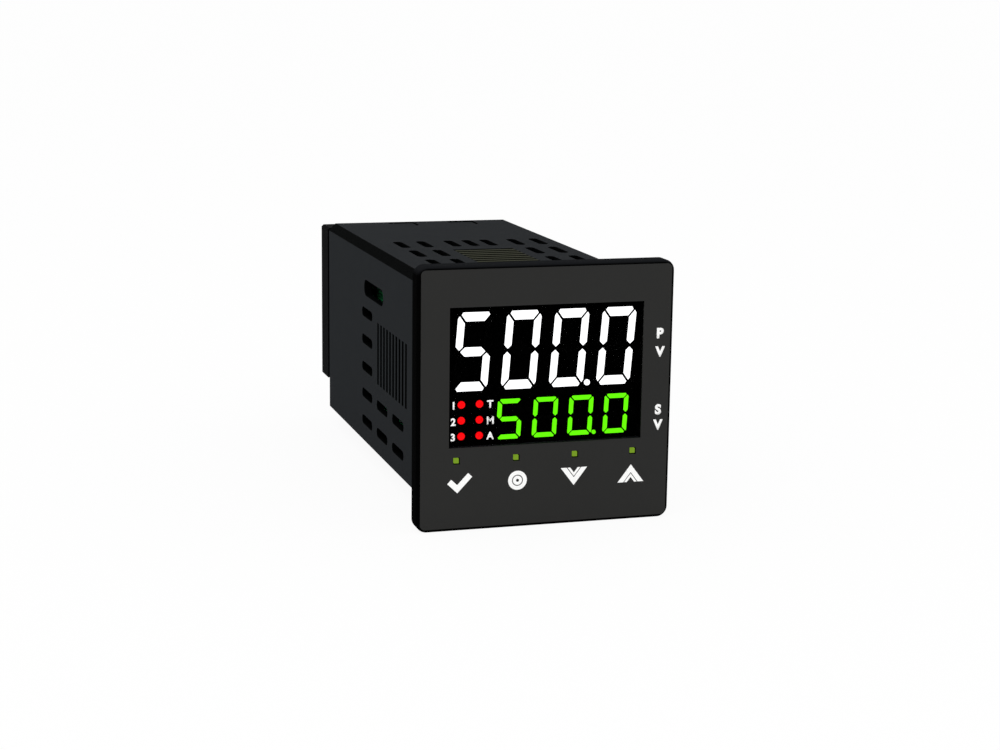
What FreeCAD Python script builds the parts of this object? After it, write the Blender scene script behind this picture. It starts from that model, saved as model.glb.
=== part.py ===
import FreeCAD, Part
import math
import os
import re
import Sketcher

# Panel-mounted PID temperature controller, 48 x 48 mm front, in millimetres.
# X runs to the right of someone facing the front, Y runs back through the panel
# and Z is up. The origin is the centre of the panel cut-out, in the plane where
# the bezel seats on the panel.

SIZE_LIST = [
    # front bezel
    ("flange_overhang", 1.6, "how far the bezel's flange reaches out past its collar"),
    ("bezel_depth", 4.0, "front surface of the film to the panel seat"),
    ("bezel_corner", 2.0, "corner radius of the flange, seen from the front"),
    ("bezel_round", 0.65, "rounding of the flange's front edge"),
    ("bezel_rear_edge", 0.3, "chamfer of the flange's rear edge"),
    ("front_wall", 1.8, "thickness of the moulded wall behind the film"),
    # panel fixing
    ("collar_wall", 1.8, "thickness of the collar round the case sleeve"),
    ("collar_depth", 5.5, "how far the collar reaches behind the panel seat"),
    ("collar_corner", 1.0, "corner radius of the collar"),
    ("gasket_thickness", 1.0, "thickness of the rubber gasket, uncompressed"),
    ("gasket_width", 0.9, "width of the gasket's strip"),
    ("gasket_groove", 0.6, "depth of the gasket's groove in the flange"),
    ("gasket_clearance", 0.05, "gap beside the gasket in its groove"),
    # film and window
    ("film_thickness", 0.25, "thickness of the printed front film"),
    ("film_corner", 1.4, "corner radius of the film"),
    ("window_width", 36.3, "width of the smoked display window"),
    ("window_height", 25.3, "height of the smoked display window"),
    ("window_rise", 4.0, "height of the window's centre above the bezel's"),
    ("window_thickness", 1.0, "thickness of the window"),
    ("window_clearance", 0.05, "gap round the window, each side"),
    # display block and its digits
    ("display_gap", 0.05, "gap between the window and the lit segments"),
    ("display_clearance", 0.1, "gap round the display block in its opening"),
    ("segment_rise", 0.2, "how far a lit segment stands out of the block"),
    ("process_height", 14.15, "height of the large digits"),
    ("process_width", 6.4, "width of a large digit"),
    ("process_pitch", 9.0, "distance from one large digit to the next"),
    ("process_bar", 1.6, "breadth of a lying segment of the large digits"),
    ("process_post", 1.25, "breadth of a standing segment of the large digits"),
    ("process_left", -17.35, "left edge of the first large digit at its foot"),
    ("process_foot", 1.4, "height of the foot of the large digits"),
    ("process_slant", 0.078, "lean of the large digits, sideways per height"),
    ("process_gap", 0.42, "gap between two segments of the large digits"),
    ("process_nose", 0.45, "outer corners cut off the segments of the large digits"),
    ("process_dot", 0.55, "radius of the decimal point of the large digits"),
    ("process_dot_place", 0.87, "right side of a large digit to its decimal point"),
    ("setpoint_height", 7.3, "height of the small digits"),
    ("setpoint_width", 4.55, "width of a small digit"),
    ("setpoint_pitch", 6.75, "distance from one small digit to the next"),
    ("setpoint_bar", 0.8, "breadth of a lying segment of the small digits"),
    ("setpoint_post", 0.76, "breadth of a standing segment of the small digits"),
    ("setpoint_left", -9.15, "left edge of the first small digit at its foot"),
    ("setpoint_foot", -7.7, "height of the foot of the small digits"),
    ("setpoint_slant", 0.052, "lean of the small digits, sideways per height"),
    ("setpoint_gap", 0.26, "gap between two segments of the small digits"),
    ("setpoint_nose", 0.24, "outer corners cut off the segments of the small digits"),
    ("setpoint_dot", 0.38, "radius of the decimal point of the small digits"),
    ("setpoint_dot_place", 0.52, "right side of a small digit to its decimal point"),
    ("digit_count", 4, "digits in each row"),
    ("lamp_radius", 0.7, "radius of a status lamp"),
    ("lamp_left", -15.6, "place of the left column of status lamps"),
    ("lamp_column_pitch", 3.35, "distance between the two columns of lamps"),
    ("lamp_foot", -6.8, "height of the lowest row of status lamps"),
    ("lamp_row_pitch", 2.875, "distance between the rows of status lamps"),
    ("lamp_rows", 3, "rows of status lamps"),
    # keys
    ("key_drop", 15.0, "depth of the keys' centres below the bezel's centre"),
    ("key_width", 6.4, "width of a key behind the film"),
    ("key_height", 5.0, "height of a key"),
    ("key_corner", 1.2, "corners cut off a key"),
    ("key_clearance", 0.15, "gap round a key in the front wall"),
    ("key_lip", 0.5, "how far the key's retaining lip reaches out"),
    ("key_lip_depth", 0.7, "thickness of the key's retaining lip"),
    ("key_travel", 0.25, "how far a key moves when it is pressed"),
    ("stem_radius", 1.25, "radius of a switch's stem"),
    ("stem_clearance", 0.08, "gap round the stem in its switch"),
    ("stem_engagement", 1.15, "length of the stem inside its switch, unpressed"),
    ("stem_reserve", 0.15, "free depth behind a pressed stem"),
    ("switch_side", 4.5, "side of a switch's square body"),
    ("switch_depth", 2.6, "depth of a switch's body"),
    ("key_lamp_side", 0.85, "side of the square lamp above a key"),
    ("key_lamp_clearance", 0.2, "gap round a key lamp"),
    ("key_lamp_drop", 11.0, "depth of the key lamps below the bezel's centre"),
    ("key_lamp_recess", 0.15, "how far a key lamp lies below the film's surface"),
    # case sleeve
    ("case_width", 41.0, "outer width of the case sleeve"),
    ("case_height", 41.0, "outer height of the case sleeve"),
    ("case_wall", 1.4, "wall thickness of the sleeve"),
    ("case_setback", 0.15, "back of a pressed key's lip to the sleeve's front edge"),
    ("case_end", 86.8, "panel seat to the sleeve's rear edge"),
    ("case_fit", 0.1, "gap between the sleeve and the collar, each side"),
    ("case_top_chamfer", 1.4, "chamfer along the sleeve's two upper edges"),
    ("case_foot_chamfer", 0.4, "chamfer along the sleeve's two lower edges"),
    ("vent_length", 9.0, "length of a short vent slot"),
    ("vent_width", 1.75, "width of a short vent slot"),
    ("vent_first", 24.2, "panel seat to the middle of the first vent column"),
    ("vent_column_pitch", 12.9, "distance between the vent columns"),
    ("vent_row_foot", -15.7, "height of the lowest row of side vents"),
    ("vent_row_pitch", 5.6, "distance between the rows of side vents"),
    ("vent_tall_rows", 5, "side vents in the rearmost column"),
    ("vent_low_rows", 2, "side vents in each other column"),
    ("board_slot_length", 16.3, "length of the large side slot"),
    ("board_slot_width", 3.1, "width of the large side slot"),
    ("board_slot_rise", 11.85, "height of the large side slot"),
    ("board_slot_place", 44.45, "panel seat to the middle of the large side slot"),
    ("grille_first", 18.0, "panel seat to the first grille slot"),
    ("grille_pitch", 2.5, "distance between grille slots"),
    ("grille_width", 1.15, "width of a grille slot"),
    ("grille_length", 12.2, "length of a grille slot"),
    ("grille_slots", 10, "slots in each grille"),
    ("side_grille_rise", 0.2, "height of the middle of the side grille"),
    ("top_vent_shift", 1.0, "sideways shift of the pattern of top vents"),
    ("top_vent_inner", 3.8, "middle of the top pattern to the next vent"),
    ("top_vent_middle", 9.6, "middle of the top pattern to the inner long vents"),
    ("top_vent_outer", 14.4, "middle of the top pattern to the outer long vents"),
    ("notch_radius", 2.85, "radius of the finger notches near the top's rear edge"),
    ("notch_length", 4.3, "straight length of a finger notch"),
    ("notch_rim", 0.8, "rim left between a finger notch and the sleeve's rear edge"),
    ("notch_depth", 0.25, "depth of a finger notch"),
    ("notch_spread", 6.7, "middle of the two finger notches to one of them"),
    ("notch_shift", 2.0, "sideways shift of the finger notches"),
    # circuit boards and what they carry
    ("board_thickness", 1.6, "thickness of a circuit board"),
    ("board_setback", 5.0, "front wall's back to the display board"),
    ("board_clearance", 0.15, "gap between the display board and the sleeve"),
    ("side_board_height", 34.0, "height of the two boards along the sides"),
    ("side_board_gap", 2.1, "gap between a side board and the sleeve's wall"),
    ("header_depth", 2.5, "depth of the header strips behind the display board"),
    ("header_length", 20.3, "length of a header strip"),
    ("core_depth", 12.0, "transformer core, across the board"),
    ("core_length", 14.0, "transformer core, along the case"),
    ("core_height", 15.0, "transformer core, upright"),
    ("core_leg", 2.6, "breadth of the core's outer legs"),
    ("core_place", 46.0, "panel seat to the front of the transformer"),
    ("core_foot", -15.0, "height of the transformer's lower face"),
    ("bobbin_base", 1.5, "thickness of the bobbin's base"),
    ("winding_gap", 0.2, "gap between the winding and the core"),
    ("capacitor_radius", 5.0, "radius of a filter capacitor"),
    ("capacitor_length", 17.0, "length of a filter capacitor"),
    ("capacitor_place", 33.0, "panel seat to the capacitors' axes"),
    ("capacitor_foot", -9.0, "height of the lower capacitor's axis"),
    ("capacitor_pitch", 12.5, "distance between the capacitors' axes"),
    ("relay_depth", 10.2, "relay, across the board"),
    ("relay_length", 20.0, "relay, along the case"),
    ("relay_height", 7.4, "relay, upright"),
    ("relay_place", 60.0, "panel seat to the front of the relays"),
    ("relay_foot", -14.0, "height of the lower relay's lower face"),
    ("relay_pitch", 10.0, "distance between the relays"),
    ("chip_side", 10.0, "side of the processor"),
    ("chip_thickness", 1.4, "thickness of the processor"),
    ("chip_place", 20.0, "panel seat to the front of the processor"),
    ("lead_width", 0.35, "width of a processor lead"),
    ("lead_reach", 1.0, "how far a lead reaches out of the processor"),
    ("lead_pitch", 1.1, "distance between leads"),
    ("leads_per_side", 8, "leads on each side of the processor"),
    ("crystal_length", 11.0, "length of the clock crystal's can"),
    ("crystal_width", 4.6, "width of the clock crystal's can"),
    ("crystal_depth", 3.5, "height of the clock crystal's can off its board"),
    ("crystal_place", 38.0, "panel seat to the front of the clock crystal"),
    ("mains_cap_depth", 7.0, "mains capacitor, across the board"),
    ("mains_cap_length", 13.0, "mains capacitor, along the case"),
    ("mains_cap_height", 12.0, "mains capacitor, upright"),
    ("mains_cap_place", 64.0, "panel seat to the front of the mains capacitor"),
    # terminal block
    ("cover_thickness", 1.4, "thickness of the rear cover plate"),
    ("cover_inset", 0.6, "step from the sleeve's sides in to the cover plate"),
    ("cover_foot_inset", 1.2, "step from the sleeve's bottom up to the plate"),
    ("spigot_depth", 1.5, "how far the cover plugs into the sleeve"),
    ("spigot_clearance", 0.1, "gap between the spigot and the sleeve"),
    ("block_depth", 8.0, "sleeve's rear edge to the back of the terminals"),
    ("block_foot", -14.0, "height of the lower face of the terminal block"),
    ("block_head", 19.35, "height of the upper face of the terminal block"),
    ("block_chamfer", 0.45, "chamfer along the terminal block's upper edges"),
    ("terminal_rows", 6, "terminals in a column"),
    ("terminal_columns", 3, "columns of terminals"),
    ("terminal_pitch", 5.15, "distance between the rows of terminals"),
    ("terminal_column_pitch", 12.9, "distance between the columns"),
    ("pocket_width", 9.4, "width of a terminal's pocket"),
    ("pocket_height", 3.9, "height of a terminal's pocket"),
    ("pocket_depth", 4.6, "depth of a terminal's pocket"),
    ("pocket_clearance", 0.1, "gap round the metal parts in a pocket"),
    ("column_groove", 1.0, "width of the groove between two columns"),
    ("groove_depth", 2.0, "depth of the groove between two columns"),
    ("contact_thickness", 0.8, "thickness of a terminal's contact plate"),
    ("clamp_length", 4.6, "length of a wire clamp plate"),
    ("clamp_thickness", 0.9, "thickness of a wire clamp plate"),
    ("screw_head_radius", 1.75, "radius of a terminal screw's head"),
    ("screw_head_depth", 1.5, "height of a terminal screw's head"),
    ("screw_radius", 1.2, "radius of a terminal screw's shank"),
    ("screw_length", 4.0, "length of a terminal screw's shank"),
    ("screw_clearance", 0.05, "gap round a terminal screw's shank"),
    ("screw_slot_width", 0.6, "width of the slot in a screw's head"),
    ("screw_slot_depth", 0.7, "depth of the slot in a screw's head"),
]

doc = FreeCAD.newDocument("TemperatureController")

# ---------------------------------------------------------------- sizes sheet
sheet = doc.addObject("Spreadsheet::Sheet", "Sizes")
for row, (alias, number, meaning) in enumerate(SIZE_LIST, start=1):
    sheet.set("A%d" % row, alias)
    sheet.set("B%d" % row, str(number))
    sheet.set("C%d" % row, meaning)
    sheet.setAlias("B%d" % row, alias)
doc.recompute()

# Places along Y that several pieces share.
FILM_BACK = "(film_thickness - bezel_depth)"
WALL_BACK = "(%s + front_wall)" % FILM_BACK
WINDOW_BACK = "(window_thickness - bezel_depth)"
SEGMENT_FACE = "(%s + display_gap)" % WINDOW_BACK
BLOCK_FACE = "(%s + segment_rise)" % SEGMENT_FACE
BOARD_FRONT = "(%s + board_setback)" % WALL_BACK
BOARD_BACK = "(%s + board_thickness)" % BOARD_FRONT
LIP_BACK = "(%s + key_lip_depth)" % WALL_BACK
CASE_START = "(%s + key_travel + case_setback)" % LIP_BACK
STEM_BACK = "(%s - switch_depth + stem_engagement)" % BOARD_FRONT
COVER_FRONT = "(case_end - spigot_depth)"
PLATE_BACK = "(case_end + cover_thickness)"
BLOCK_BACK = "(case_end + block_depth)"
POCKET_FLOOR = "(%s - pocket_depth)" % BLOCK_BACK
CLAMP_BACK = "(%s + contact_thickness + clamp_thickness)" % POCKET_FLOOR

# Faces inside the sleeve.
INNER_WIDTH = "(case_width - 2 * case_wall)"
INNER_HEIGHT = "(case_height - 2 * case_wall)"
BOARD_WIDTH = "(%s - 2 * board_clearance)" % INNER_WIDTH
LEFT_BOARD_IN = "(-%s / 2 + side_board_gap + board_thickness)" % INNER_WIDTH
RIGHT_BOARD_IN = "(%s / 2 - side_board_gap - board_thickness)" % INNER_WIDTH

# The collar fits round the sleeve, and the flange stands out round the collar.
COLLAR_WIDTH = "(case_width + 2 * case_fit + 2 * collar_wall)"
COLLAR_HEIGHT = "(case_height + 2 * case_fit + 2 * collar_wall)"
BEZEL_WIDTH = "(%s + 2 * flange_overhang)" % COLLAR_WIDTH
BEZEL_HEIGHT = "(%s + 2 * flange_overhang)" % COLLAR_HEIGHT

# The outer two key switches stand at the edges of the display board.
KEY_PITCH = "((%s - switch_side) / 3)" % BOARD_WIDTH

ALIASES = {alias for alias, number, meaning in SIZE_LIST}


def bound(text):
    """Turn each size name in an expression into a reference to its cell."""
    def cell(match):
        word = match.group(0)
        return "Sizes." + word if word in ALIASES else word
    return re.sub(r"[a-z_]+", cell, str(text))


def number_of(text):
    return float(sheet.evalExpression(bound(text)))


def bind(owner, path, text):
    owner.setExpression(path, bound(text))


# ------------------------------------------------------------ sketch helpers
# A "front" sketch is drawn as seen from the front (X right, Z up) and its normal
# points at the viewer; a "side" sketch has Y to the right and Z up; a "top"
# sketch has X to the right and Y up.
PLANES = {"front": "XZ_Plane", "side": "YZ_Plane", "top": "XY_Plane"}


def origin_feature(body, role):
    for feature in body.Origin.OriginFeatures:
        if feature.Role == role:
            return feature
    raise RuntimeError("no " + role)


def new_body(name):
    body = doc.addObject("PartDesign::Body", name)
    body.Label = name
    return body


def new_sketch(body, name, plane, at):
    """Start a sketch on a plane at the place `at` along that plane's axis."""
    sketch = body.newObject("Sketcher::SketchObject", name)
    sketch.AttachmentSupport = [(origin_feature(body, PLANES[plane]), "")]
    sketch.MapMode = "FlatFace"
    along = "-(%s)" % at if plane == "front" else at
    bind(sketch, ".AttachmentOffset.Base.z", along)
    doc.recompute()
    return sketch


def dimension(sketch, kind, places, text):
    """Add one driven dimension to a sketch."""
    index = sketch.addConstraint(Sketcher.Constraint(kind, *places, number_of(text)))
    bind(sketch, "Constraints[%d]" % index, text)


def line(sketch, start, end):
    first = FreeCAD.Vector(start[0], start[1], 0)
    second = FreeCAD.Vector(end[0], end[1], 0)
    return sketch.addGeometry(Part.LineSegment(first, second))


def arc(sketch, centre, radius, start, end):
    """Add an arc that runs anticlockwise between two angles, in quarter turns."""
    quarter = 1.5707963267948966
    whole = Part.Circle(FreeCAD.Vector(centre[0], centre[1], 0), FreeCAD.Vector(0, 0, 1), radius)
    return sketch.addGeometry(Part.ArcOfCircle(whole, start * quarter, end * quarter))


def polygon(sketch, corners):
    """Draw a closed outline whose corners are pairs of expressions."""
    points = [(number_of(x), number_of(y)) for x, y in corners]
    sides = []
    for index, point in enumerate(points):
        sides.append(line(sketch, point, points[(index + 1) % len(points)]))
    for index, side in enumerate(sides):
        following = sides[(index + 1) % len(sides)]
        sketch.addConstraint(Sketcher.Constraint("Coincident", side, 2, following, 1))
    for side, (x, y) in zip(sides, corners):
        dimension(sketch, "DistanceX", (-1, 1, side, 1), x)
        dimension(sketch, "DistanceY", (-1, 1, side, 1), y)


def rectangle(sketch, centre, size, corner=None):
    """Draw a rectangle, with rounded corners where a radius is given."""
    left = "(%s) - (%s) / 2" % (centre[0], size[0])
    right = "(%s) + (%s) / 2" % (centre[0], size[0])
    low = "(%s) - (%s) / 2" % (centre[1], size[1])
    high = "(%s) + (%s) / 2" % (centre[1], size[1])
    if corner is None:
        polygon(sketch, [(left, low), (right, low), (right, high), (left, high)])
        return
    x0, x1, y0, y1, r = [number_of(text) for text in (left, right, low, high, corner)]
    bottom = line(sketch, (x0 + r, y0), (x1 - r, y0))
    turn_1 = arc(sketch, (x1 - r, y0 + r), r, 3, 4)
    east = line(sketch, (x1, y0 + r), (x1, y1 - r))
    turn_2 = arc(sketch, (x1 - r, y1 - r), r, 0, 1)
    top = line(sketch, (x1 - r, y1), (x0 + r, y1))
    turn_3 = arc(sketch, (x0 + r, y1 - r), r, 1, 2)
    west = line(sketch, (x0, y1 - r), (x0, y0 + r))
    turn_4 = arc(sketch, (x0 + r, y0 + r), r, 2, 3)
    loop = [bottom, turn_1, east, turn_2, top, turn_3, west, turn_4]
    for index, piece in enumerate(loop):
        following = loop[(index + 1) % len(loop)]
        sketch.addConstraint(Sketcher.Constraint("Tangent", piece, 2, following, 1))
    sketch.addConstraint(Sketcher.Constraint("Horizontal", bottom))
    sketch.addConstraint(Sketcher.Constraint("Vertical", east))
    sketch.addConstraint(Sketcher.Constraint("Equal", turn_1, turn_2))
    sketch.addConstraint(Sketcher.Constraint("Equal", turn_1, turn_3))
    dimension(sketch, "Radius", (turn_1,), corner)
    dimension(sketch, "DistanceY", (-1, 1, bottom, 1), low)
    dimension(sketch, "DistanceX", (-1, 1, east, 1), right)
    dimension(sketch, "DistanceY", (-1, 1, top, 1), high)
    dimension(sketch, "DistanceX", (-1, 1, west, 1), left)


def cut_rectangle(sketch, centre, size, cut):
    """Draw a rectangle whose corners are cut off straight."""
    corners = []
    for x, z, first, second in ((-1, -1, 0, 1), (1, -1, 1, 0), (1, 1, 0, 1), (-1, 1, 1, 0)):
        for inset_x, inset_z in ((first, second), (second, first)):
            across = "%s + %d * ((%s) / 2 - %d * (%s))" % (centre[0], x, size[0], inset_x, cut)
            upward = "%s + %d * ((%s) / 2 - %d * (%s))" % (centre[1], z, size[1], inset_z, cut)
            corners.append((across, upward))
    polygon(sketch, corners)


def slot(sketch, centre, length, width, upright=False, faces=4):
    """Draw a slot with round ends of a few faces each, along the first axis or upright."""
    corners = []
    for side, first in ((1, -90), (-1, 90)):
        for step in range(faces + 1):
            angle = math.radians(first + 180 * step / faces)
            reach = "%d * ((%s) - (%s)) / 2" % (side, length, width)
            along = "%s + (%s) / 2 * %.6f" % (reach, width, math.cos(angle))
            across = "(%s) / 2 * %.6f" % (width, math.sin(angle))
            if upright:
                along, across = across, along
            corners.append(("%s + %s" % (centre[0], along), "%s + %s" % (centre[1], across)))
    polygon(sketch, corners)


def disc(sketch, centre, radius, faces=12):
    """Draw a small round outline with few faces."""
    corners = []
    for step in range(faces):
        angle = math.radians(360 * (step + 0.5) / faces)
        corners.append(("%s + (%s) * %.6f" % (centre[0], radius, math.cos(angle)),
                        "%s + (%s) * %.6f" % (centre[1], radius, math.sin(angle))))
    polygon(sketch, corners)


def circle(sketch, centre, radius):
    x, y, r = [number_of(text) for text in (centre[0], centre[1], radius)]
    whole = Part.Circle(FreeCAD.Vector(x, y, 0), FreeCAD.Vector(0, 0, 1), r)
    index = sketch.addGeometry(whole)
    dimension(sketch, "Radius", (index,), radius)
    dimension(sketch, "DistanceX", (-1, 1, index, 3), centre[0])
    dimension(sketch, "DistanceY", (-1, 1, index, 3), centre[1])


# ----------------------------------------------------------- feature helpers
def pad(body, sketch, length):
    """Add material on the side that the sketch's normal points to."""
    feature = body.newObject("PartDesign::Pad", sketch.Name.replace("Sketch", "Pad"))
    feature.Profile = sketch
    bind(feature, "Length", length)
    doc.recompute()
    return feature


def pocket(body, sketch, length):
    """Cut away from the sketch's normal, and make sure that it cuts something."""
    before = body.Shape.Volume
    feature = body.newObject("PartDesign::Pocket", sketch.Name.replace("Sketch", "Pocket"))
    feature.Profile = sketch
    bind(feature, "Length", length)
    doc.recompute()
    if not body.Shape.Volume < before:
        raise RuntimeError(feature.Name + " cuts nothing")
    return feature


def repeat(body, feature, axis, step, count, second=None):
    """Repeat a feature along one or two of the body's axes."""
    pattern = body.newObject("PartDesign::LinearPattern", feature.Name + "Row")
    pattern.Originals = [feature]
    pattern.Direction = (origin_feature(body, axis), [""])
    bind(pattern, "Length", "(%s) * (%s - 1)" % (step, count))
    bind(pattern, "Occurrences", count)
    if second:
        pattern.Direction2 = (origin_feature(body, second[0]), [""])
        bind(pattern, "Length2", "(%s) * (%s - 1)" % (second[1], second[2]))
        bind(pattern, "Occurrences2", second[2])
    body.Tip = pattern
    doc.recompute()
    return pattern


def dress(body, kind, name, size, wanted):
    """Fillet or chamfer the edges of the body's tip that `wanted` picks."""
    base = body.Tip
    names = []
    for index, edge in enumerate(base.Shape.Edges, start=1):
        if wanted(edge):
            names.append("Edge%d" % index)
    if not names:
        raise RuntimeError(name + " finds no edge")
    feature = body.newObject("PartDesign::" + kind, name)
    feature.Base = (base, names)
    bind(feature, "Radius" if kind == "Fillet" else "Size", size)
    doc.recompute()
    return feature


def near(first, second):
    return abs(first - second) < 1e-4


def lies_at(edge, axis, place):
    """Whether an edge lies wholly in the plane at `place` on an axis."""
    low = getattr(edge.BoundBox, axis + "Min")
    high = getattr(edge.BoundBox, axis + "Max")
    return near(low, place) and near(high, place)


def box(name, corner, size):
    """Make a block from its lowest corner and its three sides."""
    solid = doc.addObject("Part::Box", name)
    solid.Label = name
    for side, text in zip(("Length", "Width", "Height"), size):
        bind(solid, side, text)
    for axis, text in zip("xyz", corner):
        bind(solid, "Placement.Base." + axis, text)
    return solid


def group(name, pieces):
    """Keep like pieces together as one sub-part of separate solids."""
    compound = doc.addObject("Part::Compound", name)
    compound.Label = name
    compound.Links = pieces
    return compound


parts = []


def keep(sub_part):
    """Add a finished sub-part to those that are written out."""
    parts.append(sub_part)
    return sub_part


# --------------------------------------------------------------- front bezel
def key_places():
    """Sideways places of the four keys, from left to right."""
    return ["%s * (%s)" % (KEY_PITCH, step) for step in ("-1.5", "-0.5", "0.5", "1.5")]


def make_front_bezel():
    """Flange and collar, one moulding, with a pocket for the case sleeve."""
    body = new_body("front_bezel")
    flange = new_sketch(body, "FlangeSketch", "front", "0")
    rectangle(flange, ("0", "0"), (BEZEL_WIDTH, BEZEL_HEIGHT), "bezel_corner")
    pad(body, flange, "-%s" % FILM_BACK)
    front = number_of(FILM_BACK)
    dress(body, "Fillet", "FrontRound", "bezel_round", lambda edge: lies_at(edge, "Y", front))
    dress(body, "Chamfer", "RearEdge", "bezel_rear_edge", lambda edge: lies_at(edge, "Y", 0))

    collar = new_sketch(body, "CollarSketch", "front", "collar_depth")
    rectangle(collar, ("0", "0"), (COLLAR_WIDTH, COLLAR_HEIGHT), "collar_corner")
    pad(body, collar, "collar_depth")

    groove = new_sketch(body, "GrooveSketch", "front", "-gasket_groove")
    strip = "2 * gasket_width + 2 * gasket_clearance"
    outer = ("%s + %s" % (COLLAR_WIDTH, strip), "%s + %s" % (COLLAR_HEIGHT, strip))
    rectangle(groove, ("0", "0"), outer, "collar_corner")
    rectangle(groove, ("0", "0"), (COLLAR_WIDTH, COLLAR_HEIGHT), "collar_corner")
    pocket(body, groove, "gasket_groove")

    hollow = new_sketch(body, "HollowSketch", "front", WALL_BACK)
    width = "case_width + 2 * case_fit"
    height = "case_height + 2 * case_fit"
    rectangle(hollow, ("0", "0"), (width, height))
    pocket(body, hollow, "collar_depth - %s" % WALL_BACK)

    opening = new_sketch(body, "OpeningSketch", "front", FILM_BACK)
    rectangle(opening, ("0", "window_rise"), ("window_width", "window_height"))
    pocket(body, opening, "front_wall")

    holes = new_sketch(body, "KeyHoleSketch", "front", FILM_BACK)
    width = "key_width + 2 * key_clearance"
    height = "key_height + 2 * key_clearance"
    lamp = "key_lamp_side + 2 * key_lamp_clearance"
    for place in key_places():
        cut_rectangle(holes, (place, "-key_drop"), (width, height), "key_corner")
        rectangle(holes, (place, "-key_lamp_drop"), (lamp, lamp))
    pocket(body, holes, "front_wall")
    return body


keep(make_front_bezel())


# -------------------------------------------------- gasket, film and window
def make_panel_gasket():
    """Flat rubber ring in the groove of the flange's rear face."""
    body = new_body("panel_gasket")
    back = "gasket_thickness - gasket_groove"
    ring = new_sketch(body, "GasketSketch", "front", back)
    for strip in ("2 * gasket_width", "2 * gasket_clearance"):
        side = ("%s + %s" % (COLLAR_WIDTH, strip), "%s + %s" % (COLLAR_HEIGHT, strip))
        rectangle(ring, ("0", "0"), side, "collar_corner")
    pad(body, ring, "gasket_thickness")
    return body


def make_front_film():
    """Printed film over the whole front, open at the window and the key lamps."""
    body = new_body("front_film")
    sheet_outline = new_sketch(body, "FilmSketch", "front", FILM_BACK)
    width = "%s - 2 * bezel_round" % BEZEL_WIDTH
    height = "%s - 2 * bezel_round" % BEZEL_HEIGHT
    lamp = "key_lamp_side + 2 * key_lamp_clearance"
    rectangle(sheet_outline, ("0", "0"), (width, height), "film_corner")
    rectangle(sheet_outline, ("0", "window_rise"), ("window_width", "window_height"))
    for place in key_places():
        rectangle(sheet_outline, (place, "-key_lamp_drop"), (lamp, lamp))
    pad(body, sheet_outline, "film_thickness")
    return body


def make_display_window():
    """Smoked window, flush with the film."""
    body = new_body("display_window")
    pane = new_sketch(body, "WindowSketch", "front", WINDOW_BACK)
    width = "window_width - 2 * window_clearance"
    height = "window_height - 2 * window_clearance"
    rectangle(pane, ("0", "window_rise"), (width, height))
    pad(body, pane, "window_thickness")
    return body


keep(make_panel_gasket())
keep(make_front_film())
keep(make_display_window())


# ------------------------------------------------------------- display block
def make_display_block():
    """Moulded block that holds the light-emitting digits, on the display board."""
    body = new_body("display_block")
    outline = new_sketch(body, "DisplaySketch", "front", BOARD_FRONT)
    width = "window_width - 2 * display_clearance"
    height = "window_height - 2 * display_clearance"
    rectangle(outline, ("0", "window_rise"), (width, height))
    pad(body, outline, "%s - %s" % (BOARD_FRONT, BLOCK_FACE))
    return body


def digit_segments(width, height, bar, post, gap, nose):
    """Corners of the seven segments of an upright digit, from its lower left.

    The corner segments are mitred along the line from the digit's outer corner to
    its inner one, and lose their outer tips. The middle one is pointed, and so are
    the ends that meet it.
    """
    mitre = "(%s / 2 * sqrt(1 / %s^2 + 1 / %s^2))" % (gap, post, bar)
    point = "(%s / sqrt(2))" % gap
    tip = "(%s * %s + %s * %s / %s)" % (post, mitre, nose, post, bar)
    inner = "%s * (1 + %s)" % (post, mitre)
    upper_left = [(inner, "%s - %s" % (height, bar)),
                  (tip, "%s - %s" % (height, nose)),
                  ("%s + %s * 0.6" % (tip, nose), height)]
    top = upper_left + mirrored(upper_left, width, None)[::-1]
    shoulder = "%s - (%s * 0.6 / %s + %s) * %s" % (height, nose, post, mitre, bar)
    lower_tip = "%s / 2 + %s" % (height, point)
    left = [("%s * 0.6" % nose, shoulder),
            (post, "%s - %s * (1 + %s)" % (height, bar, mitre)),
            (post, "%s + %s / 2" % (lower_tip, post)),
            ("%s / 2" % post, lower_tip),
            ("0", "%s + %s / 2" % (lower_tip, post)),
            ("0", "%s - %s" % (shoulder, nose))]
    left_point = "%s / 2 + %s" % (post, point)
    wedge = [("%s + %s / 2" % (left_point, bar), "(%s - %s) / 2" % (height, bar)),
             (left_point, "%s / 2" % height),
             ("%s + %s / 2" % (left_point, bar), "(%s + %s) / 2" % (height, bar))]
    middle = wedge + mirrored(wedge, width, None)[::-1]
    segments = [top, left, middle]
    segments.append(mirrored(top, None, height))
    segments.append(mirrored(left, None, height))
    segments.append(mirrored(left, width, None))
    segments.append(mirrored(left, width, height))
    return segments


def mirrored(corners, width, height):
    """Mirror corners left to right where a width is given, and over a height."""
    turned = []
    for x, z in corners:
        across = "%s - (%s)" % (width, x) if width else x
        upward = "%s - (%s)" % (height, z) if height else z
        turned.append((across, upward))
    return turned


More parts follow.
